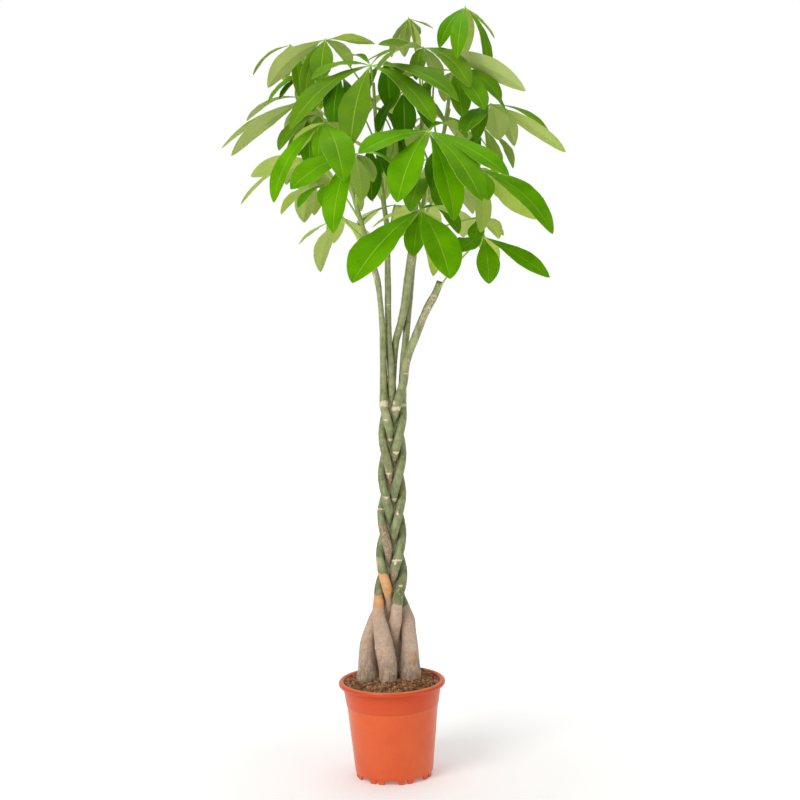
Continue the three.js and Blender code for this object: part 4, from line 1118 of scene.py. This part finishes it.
def agedSkin(tree, spots, mottle):
    # old skin of the swollen feet: pinkish buff with fine cross wrinkles, rusty flushes and dark flecks
    colours = barkColours
    low = valueOf(tree, "low")
    broad = grain(tree, placeOf(tree, (1, 1, 0.45)), 42.0, 3.0, 0.55)
    cracks = grain(tree, placeOf(tree, (1, 1, 0.22)), 240.0, 4.0, 0.6)
    cracked = times(tree, spread(tree, cracks, 0.50, 0.40), calc(tree, "MULTIPLY_ADD", low, 0.7, 0.12))
    flush = grain(tree, placeOf(tree, (1.4, 1.4, 0.6)), 33.0, 4.0, 0.6)
    bottom = times(tree, low, spread(tree, mottle, 0.62, 0.40))
    flecks = spread(tree, grain(tree, spots, 170.0, 5.0, 0.7), 0.62, 0.72)
    return coated(
        tree, blend(tree, spread(tree, broad, 0.34, 0.66), colours["buff"], colours["buffPale"]),
        (spread(tree, crossWrinkles(tree), 0.53, 0.33, 0.0, 0.6), colours["buffDeep"]),
        (cracked, colours["corky"]), (spread(tree, flush, 0.55, 0.70, 0.0, 0.65), colours["rust"]),
        (times(tree, bottom, 0.75), colours["buffDeep"]),
        (times(tree, flecks, calc(tree, "MULTIPLY_ADD", low, 0.4, 0.42)), colours["creaseShade"]))


def barkSurface():
    colours = barkColours
    material, tree, shader = newMaterial("stemBark", 0.62, 0.35)
    spots = placeOf(tree)
    mottle = grain(tree, spots, 70.0, 4.0, 0.6)
    speck = grain(tree, spots, 430.0, 3.0, 0.6)
    aged, rise = valueOf(tree, "aged"), valueOf(tree, "rise")
    skin = blend(tree, aged, greenSkin(tree, mottle), agedSkin(tree, spots, mottle))
    amber = calc(tree, "MULTIPLY_ADD", mottle, 0.5, valueOf(tree, "amber"))
    amber = spread(tree, amber, 0.3, 1.15, 0.0, 0.95)
    burnt = blend(tree, spread(tree, mottle, 0.42, 0.62), colours["amber"], colours["amberPale"])
    # cork: dark ground crowded with pale grains
    cells = addNode(tree, "ShaderNodeTexVoronoi", {"Vector": placeOf(tree, (1, 1, 0.7)), "Scale": 420.0})
    grains = spread(tree, cells.outputs["Distance"], 0.5, 0.25)
    dark = blend(tree, spread(tree, speck, 0.38, 0.6), colours["corky"], colours["corkyMid"])
    # higher up the cork is thinner, grey and blotched
    grey = blend(tree, spread(tree, speck, 0.40, 0.58), colours["tan"], colours["scarYoung"])
    cork = coated(tree, dark, (times(tree, grains, spread(tree, speck, 0.4, 0.55)), colours["corkyPale"]),
                  (spread(tree, rise, 0.3, 0.45), grey))
    rough = spread(tree, calc(tree, "MULTIPLY_ADD", speck, 0.4, valueOf(tree, "corky")), 0.45, 0.75)
    # scars: pale, pink round the edge, duller on the young wood
    young = spread(tree, rise, 0.3, 0.5)
    scar = spread(tree, calc(tree, "MULTIPLY_ADD", speck, 1.1, valueOf(tree, "scar")), 0.85, 1.35)
    pale = blend(tree, young, colours["scar"], colours["scarYoung"])
    pink = blend(tree, young, colours["scarPink"], colours["corkyMid"])
    scarred = blend(tree, spread(tree, scar, 0.95, 0.5), pale, pink)
    # painted shade, darkest where two stems press together
    shadedCrease = times(tree, valueOf(tree, "creaseShade"), 0.82)
    colour = coated(tree, skin, (amber, burnt), (rough, cork), (scar, scarred), (shadedCrease, colours["creaseShade"]),
                    (valueOf(tree, "cut"), colours["cutWood"]))
    relief = plus(tree, crossWrinkles(tree), times(tree, speck, 0.7))
    worn = plus(tree, times(tree, aged, 0.6), times(tree, rough, 1.6))
    height = times(tree, relief, plus(tree, worn, 0.14))
    dull = plus(tree, spread(tree, mottle, 0.3, 0.7, 0.36, 0.52), times(tree, worn, 0.14))
    feed(tree, shader, {"Base Color": colour, "Normal": bumped(tree, height, 0.7, 0.0012), "Roughness": dull})
    return material


def makeStems():
    tree = sweptStemTree()
    settings = {"Sides": stemForm["sides"], "Finish": barkSurface()}
    pieces = []
    for stem in stems:
        t = np.linspace(0, 1, stemForm["samples"])
        line = stem.at(t)[0]
        low, high = stemForm["fineSpan"]
        fine = (line[:-1, 2] > low) & (line[:-1, 2] < high)
        pace = np.where(fine, stemForm["fineStep"], stemForm["ringStep"])
        steps = np.concatenate([[0], np.cumsum(np.linalg.norm(np.diff(line, axis=0), axis=1) / pace)])
        t = np.interp(np.linspace(0, steps[-1], int(steps[-1])), steps, t)
        spots, radii = stem.at(t)
        mesh = newMesh(stem.name, spots)
        setValues(mesh, {"along": t, "thick": radii * 0.001})
        pieces.append(grow(stem.name + "_fine", mesh, tree, settings))
    settle(pieces)
    for index, piece in enumerate(pieces):
        dressBark(piece, index)
        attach(piece, "root")
        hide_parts(stems[index].name)
    print("stems are dressed:", sum(len(piece.data.polygons) for piece in pieces), "faces")


makeStems()

potForm = {
    "height": 219.0, "rimRadius": 120.0, "rimRoll": 6.5, "bandBottom": 165.0, "bandTop": 110.5,
    "bandLow": 104.0, "bodyTop": 102.8, "bodyBottom": 88.0, "wall": 2.4, "floorBottom": 9.0, "floor": 2.6,
    "footPairs": 8, "firstBearing": 17.5, "footSpread": 14.4, "footWidth": 16.0, "footDepth": 5.0,
    "footCircle": 83.5, "drainRadius": 6.0, "drainCircle": 60.0, "sides": 144,
}


def latheMesh(name, profile, sides):
    # a closed turned form from (radius, height) pairs, its two ends on the axis
    turn = np.arange(sides) * 2 * math.pi / sides
    rows = [np.stack([r * np.sin(turn), -r * np.cos(turn), np.full(sides, z)], axis=1)
            for r, z in profile[1:-1]]
    points = np.vstack([[[0, 0, profile[0][1]]], *rows, [[0, 0, profile[-1][1]]]])
    last = len(points) - 1
    faces = []
    for k in range(sides):
        n = (k + 1) % sides
        faces.append((0, 1 + n, 1 + k))
        for row in range(len(rows) - 1):
            a = 1 + row * sides
            faces.append((a + k, a + n, a + sides + n, a + sides + k))
        a = 1 + (len(rows) - 1) * sides
        faces.append((a + k, a + n, last))
    return newMesh(name, points, faces)


def arc(centre, radius, start, end, count):
    turns = np.radians(np.linspace(start, end, count))
    return [(centre[0] + radius * math.cos(a), centre[1] + radius * math.sin(a)) for a in turns]


def potProfile():
    form = potForm
    lip = (form["rimRadius"] - form["rimRoll"], form["height"] - form["rimRoll"])
    inside = form["floorBottom"] + form["floor"]
    wall = form["wall"]
    outer = [(0, form["floorBottom"]), (60, form["floorBottom"]),
             (form["bodyBottom"] - 5, form["floorBottom"]),
             *arc((form["bodyBottom"] - 4.2, form["floorBottom"] + 4), 4.2, -80, -5, 6)]
    for share in np.linspace(0.05, 0.985, 14):
        outer.append((form["bodyBottom"] + (form["bodyTop"] - form["bodyBottom"]) * share,
                      13 + (form["bandBottom"] - 14) * share))
    outer += [(form["bodyTop"] + 0.1, form["bandBottom"] - 1.4),
              (form["bodyTop"] + 0.7, form["bandBottom"] - 0.7),
              (form["bandLow"] - 0.1, form["bandBottom"] - 0.1),
              (form["bandLow"] + 0.15, form["bandBottom"] + 0.7)]
    for share in np.linspace(0.08, 0.93, 6):
        outer.append((form["bandLow"] + (form["bandTop"] - form["bandLow"]) * share,
                      form["bandBottom"] + 42 * share))
    outer += [(form["bandTop"] + 0.2, lip[1] - 5.9)]
    inner = [(form["bandTop"] - wall, lip[1] - 7), (form["bandLow"] - wall, form["bandBottom"] + 1),
             (form["bodyTop"] - wall, form["bandBottom"] - 2), (form["bodyBottom"] - wall, inside + 3),
             (form["bodyBottom"] - wall - 3, inside), (40, inside), (0, inside)]
    return [*outer, *arc(lip, form["rimRoll"], -58, 172, 22), *inner]


def potTree():
    # the turned shell with its drain holes cut and its feet set round in pairs
    tree, given = newTree("potMoulding", [
        ("Pairs", "Int", 8), ("First bearing", "Float", 0.3), ("Spread", "Float", 0.25),
        ("Foot circle", "Float", 0.08), ("Foot width", "Float", 0.016), ("Foot height", "Float", 0.01),
        ("Foot depth", "Float", 0.005), ("Drain radius", "Float", 0.006), ("Drain circle", "Float", 0.06),
        ("Floor", "Float", 0.01), ("Axis", "Vector", None), ("Finish", "Material", None)])
    index = addNode(tree, "GeometryNodeInputIndex").outputs[0]
    step = calc(tree, "DIVIDE", 2 * math.pi, given["Pairs"])

    def around(bearing, radius, count, low):
        spot = addNode(tree, "ShaderNodeCombineXYZ", {
            0: times(tree, calc(tree, "SINE", bearing), radius),
            1: times(tree, calc(tree, "COSINE", bearing), times(tree, radius, -1.0)), 2: low})
        spot = addNode(tree, "ShaderNodeVectorMath", {0: spot.outputs[0], 1: given["Axis"]}, operation="ADD")
        return addNode(tree, "GeometryNodePoints", {"Count": count, "Position": spot.outputs[0]}).outputs[0]

    def placed(points, instance, bearing):
        turn = addNode(tree, "FunctionNodeEulerToRotation", {
            0: addNode(tree, "ShaderNodeCombineXYZ", {2: bearing}).outputs[0]}).outputs[0]
        made = addNode(tree, "GeometryNodeInstanceOnPoints", {
            "Points": points, "Instance": instance, "Rotation": turn})
        return addNode(tree, "GeometryNodeRealizeInstances", {"Geometry": made.outputs[0]}).outputs[0]

    # drain holes, one behind each pair of feet
    pairBearing = calc(tree, "MULTIPLY_ADD", index, step, given["First bearing"])
    drill = addNode(tree, "GeometryNodeMeshCylinder", {
        "Vertices": 24, "Radius": given["Drain radius"], "Depth": 0.02}).outputs[0]
    spots = around(pairBearing, given["Drain circle"], given["Pairs"], given["Floor"])
    holes = placed(spots, drill, pairBearing)
    shell = addNode(tree, "GeometryNodeMeshBoolean", {"Mesh 1": given["Geometry"]}, solver="EXACT")
    tree.links.new(holes, shell.inputs["Mesh 2"])
    # feet: a rounded lug, filled and pushed out to its depth
    outline = addNode(tree, "GeometryNodeCurvePrimitiveQuadrilateral", {
        "Height": given["Foot height"], "Bottom Width": times(tree, given["Foot width"], 0.78),
        "Top Width": given["Foot width"], "Offset": 0.0}, mode="TRAPEZOID").outputs[0]
    rounded = addNode(tree, "GeometryNodeFilletCurve", {
        "Curve": outline, "Count": 5, "Radius": 0.0022, "Limit Radius": True}, mode="POLY").outputs[0]
    lug = addNode(tree, "GeometryNodeFillCurve", {"Curve": rounded}, mode="NGONS").outputs[0]
    pushed = addNode(tree, "GeometryNodeExtrudeMesh", {
        "Mesh": lug, "Offset Scale": given["Foot depth"], "Individual": False}).outputs[0]
    lug = join(tree, addNode(tree, "GeometryNodeFlipFaces", {"Mesh": lug}).outputs[0], pushed)
    lug = addNode(tree, "GeometryNodeMergeByDistance", {"Geometry": lug, "Distance": 0.00001}).outputs[0]
    half = times(tree, given["Foot depth"], 0.5)
    lug = addNode(tree, "GeometryNodeTransform", {
        "Geometry": lug, "Translation": addNode(tree, "ShaderNodeCombineXYZ", {
            1: half, 2: times(tree, given["Foot height"], 0.5)}).outputs[0],
        "Rotation": (math.pi / 2, 0, 0)}).outputs[0]
    pair = calc(tree, "FLOOR", calc(tree, "DIVIDE", index, 2.0))
    side = minus(tree, minus(tree, index, times(tree, pair, 2.0)), 0.5)
    footBearing = plus(tree, calc(tree, "MULTIPLY_ADD", pair, step, given["First bearing"]),
                       times(tree, side, given["Spread"]))
    count = times(tree, given["Pairs"], 2.0)
    feet = placed(around(footBearing, given["Foot circle"], count, 0.0), lug, footBearing)
    whole = join(tree, shell.outputs[0], feet)
    closeTree(tree, smoothBelow(tree, paint(tree, whole, given["Finish"]), 38))
    return tree


# heights, in metres, of the pot's bands of painted shade, painted highlight and dust, each from none of it to
# all of it
potLevels = {"band": (0.1648, 0.1655), "rimShadeDepth": (0.17, 0.205), "stepFoot": (0.1625, 0.1640),
             "stepHead": (0.1652, 0.1646), "rimFoot": (0.2035, 0.2068), "rimHead": (0.2112, 0.2085),
             "lip": (0.2155, 0.2188), "dust": (0.022, 0.004)}
# the band and shade colours are painted shade, the lip colour is a painted highlight
potColours = {"body": (0.735, 0.096, 0.016), "bodyPale": (0.79, 0.138, 0.032), "band": (0.63, 0.052, 0.001),
              "scuff": (0.86, 0.36, 0.2), "grime": (0.25, 0.07, 0.03), "shade": (0.40, 0.04, 0.012),
              "lip": (0.86, 0.30, 0.15)}


def potSurface():
    colours, levels = potColours, potLevels
    material, tree, shader = newMaterial("potPlastic", 0.36, 0.25)
    shader.inputs["Coat Weight"].default_value = 0.3
    shader.inputs["Coat Roughness"].default_value = 0.2
    spots = placeOf(tree)
    height = addNode(tree, "ShaderNodeSeparateXYZ", {0: spots}).outputs[2]
    cloud = grain(tree, spots, 9.0, 3.0)
    body = blend(tree, spread(tree, cloud, 0.3, 0.7), colours["body"], colours["bodyPale"])
    # painted shade from the rim over the upper band, deeper towards the rim
    band = times(tree, spread(tree, height, *levels["band"]),
                 spread(tree, height, *levels["rimShadeDepth"], 0.55, 0.9))
    # painted shade in the step and under the rim, and a painted highlight on the lip
    step = times(tree, spread(tree, height, *levels["stepFoot"]), spread(tree, height, *levels["stepHead"]))
    under = times(tree, spread(tree, height, *levels["rimFoot"]), spread(tree, height, *levels["rimHead"]))
    dark = calc(tree, "MAXIMUM", step, under)
    # handling scuffs, and soil dust all over, thickest at the feet
    drag = grain(tree, placeOf(tree, (1, 1, 0.25)), 260.0, 4.0, 0.7)
    scuff = times(tree, spread(tree, drag, 0.63, 0.74), spread(tree, cloud, 0.45, 0.62))
    dust = times(tree, spread(tree, grain(tree, spots, 130.0, 4.0, 0.65), 0.5, 0.72),
                 calc(tree, "MULTIPLY_ADD", spread(tree, height, *levels["dust"]), 0.5, 0.08))
    colour = coated(tree, body, (band, colours["band"]), (times(tree, dark, 0.55), colours["shade"]),
                    # painted highlight along the lip
                    (spread(tree, height, *levels["lip"], 0.0, 0.55), colours["lip"]),
                    (times(tree, scuff, 0.22), colours["scuff"]), (dust, colours["grime"]))
    rough = plus(tree, spread(tree, grain(tree, spots, 40.0, 3.0), 0.3, 0.7, 0.34, 0.45),
                 times(tree, scuff, 0.15))
    # a fine moulded texture, with faint rings from the mould
    rings = calc(tree, "SINE", times(tree, height, 1900.0))
    relief = plus(tree, grain(tree, spots, 900.0, 2.0), times(tree, rings, 0.05))
    feed(tree, shader, {"Base Color": colour, "Roughness": rough,
                        "Normal": bumped(tree, relief, 0.12, 0.0005)})
    return material


def makePot():
    form = potForm
    settings = {
        "Pairs": form["footPairs"], "First bearing": math.radians(form["firstBearing"]),
        "Spread": math.radians(form["footSpread"]), "Foot circle": form["footCircle"] * 0.001,
        "Foot width": form["footWidth"] * 0.001, "Foot height": (form["floorBottom"] + 1.4) * 0.001,
        "Foot depth": form["footDepth"] * 0.001, "Drain radius": form["drainRadius"] * 0.001,
        "Drain circle": form["drainCircle"] * 0.001,
        "Floor": (form["floorBottom"] + form["floor"] / 2) * 0.001,
        "Axis": tuple(toMetres((0, 0, 0))), "Finish": potSurface()}
    pot = grow("pot_fine", latheMesh("pot", potProfile(), form["sides"]), potTree(), settings)
    settle([pot])
    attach(pot, "root")
    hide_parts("pot")
    print("pot is moulded:", len(pot.data.polygons), "faces")


makePot()

soilForm = {
    "gap": 0.3,  # all round, between the mix and the pot
    "clod": (71, 74), "clodHeight": 8, "clodSpread": 60, "above": 0.19,  # crumbs lie above this, in metres
    "edge": 210.0, "crown": 225.0, "sides": 180, "rings": 52, "crumbs": 90000.0, "fibres": 26000.0,
    "crumbSize": (0.0011, 0.0066), "fibreLength": (0.003, 0.011), "seed": 7,
}


def soilHeight(x, y):
    reach = potForm["bandTop"] - potForm["wall"]
    out = np.minimum(1, np.hypot(x, y) / reach)
    mound = soilForm["edge"] + (soilForm["crown"] - soilForm["edge"]) * (1 - out ** 3)
    lumps = np.sin(x * 0.09 + 1) * np.cos(y * 0.11) + 0.6 * np.sin(x * 0.17 - y * 0.14)
    across, back = soilForm["clod"]
    clod = soilForm["clodHeight"] * np.exp(-((x - across) ** 2 + (y - back) ** 2) / soilForm["clodSpread"])
    return mound + (2.2 * lumps + 1.5) * (1 - 0.6 * out ** 6) + clod


def soilMesh():
    form = potForm
    wall = form["wall"] + soilForm["gap"]
    inside = form["floorBottom"] + form["floor"] + soilForm["gap"]
    profile = [(0, inside), (form["bodyBottom"] - wall - 3.2, inside),
               (form["bodyBottom"] - wall, inside + 3.2), (form["bodyTop"] - wall, form["bandBottom"] - 2.5),
               (form["bandLow"] - wall - 0.4, form["bandBottom"] + 2)]
    rim = form["bandTop"] - wall - 0.8
    profile += [(rim * (1 - k / soilForm["rings"]), soilForm["edge"]) for k in range(soilForm["rings"] + 1)]
    mesh = latheMesh("soil", profile, soilForm["sides"])
    spots = toMillimetres(meshPoints(mesh))
    top = spots[:, 2] > soilForm["edge"] - 0.5
    rough = softNoise(spots[top], 0.09, 2) * 2.2 + softNoise(spots[top], 0.3, 5) * 1.3
    edge = smoothStep(107, 100, np.hypot(spots[top, 0], spots[top, 1]))
    spots[top, 2] = soilHeight(spots[top, 0], spots[top, 1]) + rough * edge - 0.8
    movePoints(mesh, toMetres(spots))
    return mesh


def soilTree():
    # crumbs and fibres strewn over the top of the mix
    tree, given = newTree("pottingMix", [
        ("Top", "Float", 0.2), ("Crumbs", "Float", 90000.0), ("Fibres", "Float", 20000.0),
        ("Crumb low", "Float", 0.001), ("Crumb high", "Float", 0.004), ("Fibre low", "Float", 0.003),
        ("Fibre high", "Float", 0.012), ("Seed", "Int", 7), ("Finish", "Material", None)])
    spot = addNode(tree, "ShaderNodeSeparateXYZ", {0: addNode(tree, "GeometryNodeInputPosition").outputs[0]})
    up = addNode(tree, "ShaderNodeSeparateXYZ", {0: addNode(tree, "GeometryNodeInputNormal").outputs[0]})
    top = times(tree, calc(tree, "GREATER_THAN", spot.outputs[2], given["Top"]),
               calc(tree, "GREATER_THAN", up.outputs[2], 0.2))

    def random(low, high, extra, kind="FLOAT"):
        seed = plus(tree, given["Seed"], float(extra))
        made = addNode(tree, "FunctionNodeRandomValue", {"Seed": seed}, data_type=kind)
        places = {socket.name: k for k, socket in enumerate(made.inputs) if socket.enabled}
        feed(tree, made, {places["Min"]: low, places["Max"]: high})
        return next(socket for socket in made.outputs if socket.enabled)

    def strewn(shape, density, size, extra, lean):
        points = addNode(tree, "GeometryNodeDistributePointsOnFaces", {
            "Mesh": given["Geometry"], "Selection": top, "Density": density,
            "Seed": plus(tree, given["Seed"], float(extra))}).outputs[0]
        turn = addNode(tree, "FunctionNodeEulerToRotation", {
            0: random((-lean, -lean, 0), (lean, lean, 2 * math.pi), extra + 1, "FLOAT_VECTOR")}).outputs[0]
        made = addNode(tree, "GeometryNodeInstanceOnPoints", {
            "Points": points, "Instance": shape, "Rotation": turn, "Scale": size}).outputs[0]
        return keepAttribute(tree, made, "crumbTone", random(0.0, 1.0, extra + 2), domain="INSTANCE")

    # most crumbs are small
    share = calc(tree, "POWER", random(0.0, 1.0, 11), 2.2)
    size = addNode(tree, "ShaderNodeMapRange", {
        0: share, 3: given["Crumb low"], 4: given["Crumb high"]}).outputs[0]
    squashed = addNode(tree, "ShaderNodeCombineXYZ", {
        0: size, 1: times(tree, size, random(0.6, 1.1, 12)),
        2: times(tree, size, random(0.45, 0.8, 13))}).outputs[0]
    lump = addNode(tree, "GeometryNodeMeshIcoSphere", {"Radius": 1.0, "Subdivisions": 1}).outputs[0]
    crumbs = strewn(lump, given["Crumbs"], squashed, 20, 3.0)
    long = random(given["Fibre low"], given["Fibre high"], 31)
    thin = random(0.00025, 0.0006, 32)
    rod = addNode(tree, "GeometryNodeMeshCylinder", {"Vertices": 5, "Radius": 1.0, "Depth": 1.0}).outputs[0]
    rod = addNode(tree, "GeometryNodeTransform", {
        "Geometry": rod, "Rotation": (0, math.pi / 2, 0)}).outputs[0]
    slim = addNode(tree, "ShaderNodeCombineXYZ", {0: long, 1: thin, 2: thin}).outputs[0]
    fibres = strewn(rod, given["Fibres"], slim, 40, 0.5)
    ground = keepAttribute(tree, given["Geometry"], "crumbTone", 0.25)
    ground = addNode(tree, "GeometryNodeSetShadeSmooth", {
        "Geometry": ground, "Shade Smooth": True}).outputs[0]
    closeTree(tree, paint(tree, join(tree, ground, crumbs, fibres), given["Finish"]))
    return tree


soilColours = [(0.0, (0.06, 0.028, 0.015)), (0.25, (0.23, 0.105, 0.052)), (0.55, (0.40, 0.205, 0.10)),
               (0.82, (0.56, 0.34, 0.17)), (1.0, (0.70, 0.52, 0.31))]


def soilSurface():
    material, tree, shader = newMaterial("pottingMix", 0.95, 0.15)
    spots = placeOf(tree)
    patch = grain(tree, spots, 45.0, 4.0, 0.6)
    tone = plus(tree, times(tree, valueOf(tree, "crumbTone"), 0.72),
                spread(tree, patch, 0.25, 0.75, -0.12, 0.34))
    shade = ramp(tree, tone, soilColours)
    fine = grain(tree, spots, 700.0, 4.0, 0.7)
    colour = blend(tree, spread(tree, fine, 0.35, 0.62, 0.4, 0.0), shade, (0.03, 0.015, 0.008))
    feed(tree, shader, {"Base Color": colour, "Normal": bumped(tree, fine, 0.8, 0.0012)})
    return material


def makeSoil():
    settings = {"Top": soilForm["above"], "Crumbs": soilForm["crumbs"], "Fibres": soilForm["fibres"],
                "Crumb low": soilForm["crumbSize"][0], "Crumb high": soilForm["crumbSize"][1],
                "Fibre low": soilForm["fibreLength"][0], "Fibre high": soilForm["fibreLength"][1],
                "Seed": soilForm["seed"], "Finish": soilSurface()}
    soil = grow("soil_fine", soilMesh(), soilTree(), settings)
    settle([soil])
    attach(soil, "root")
    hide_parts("soil")
    print("mix is strewn:", len(soil.data.polygons), "faces")


makeSoil()
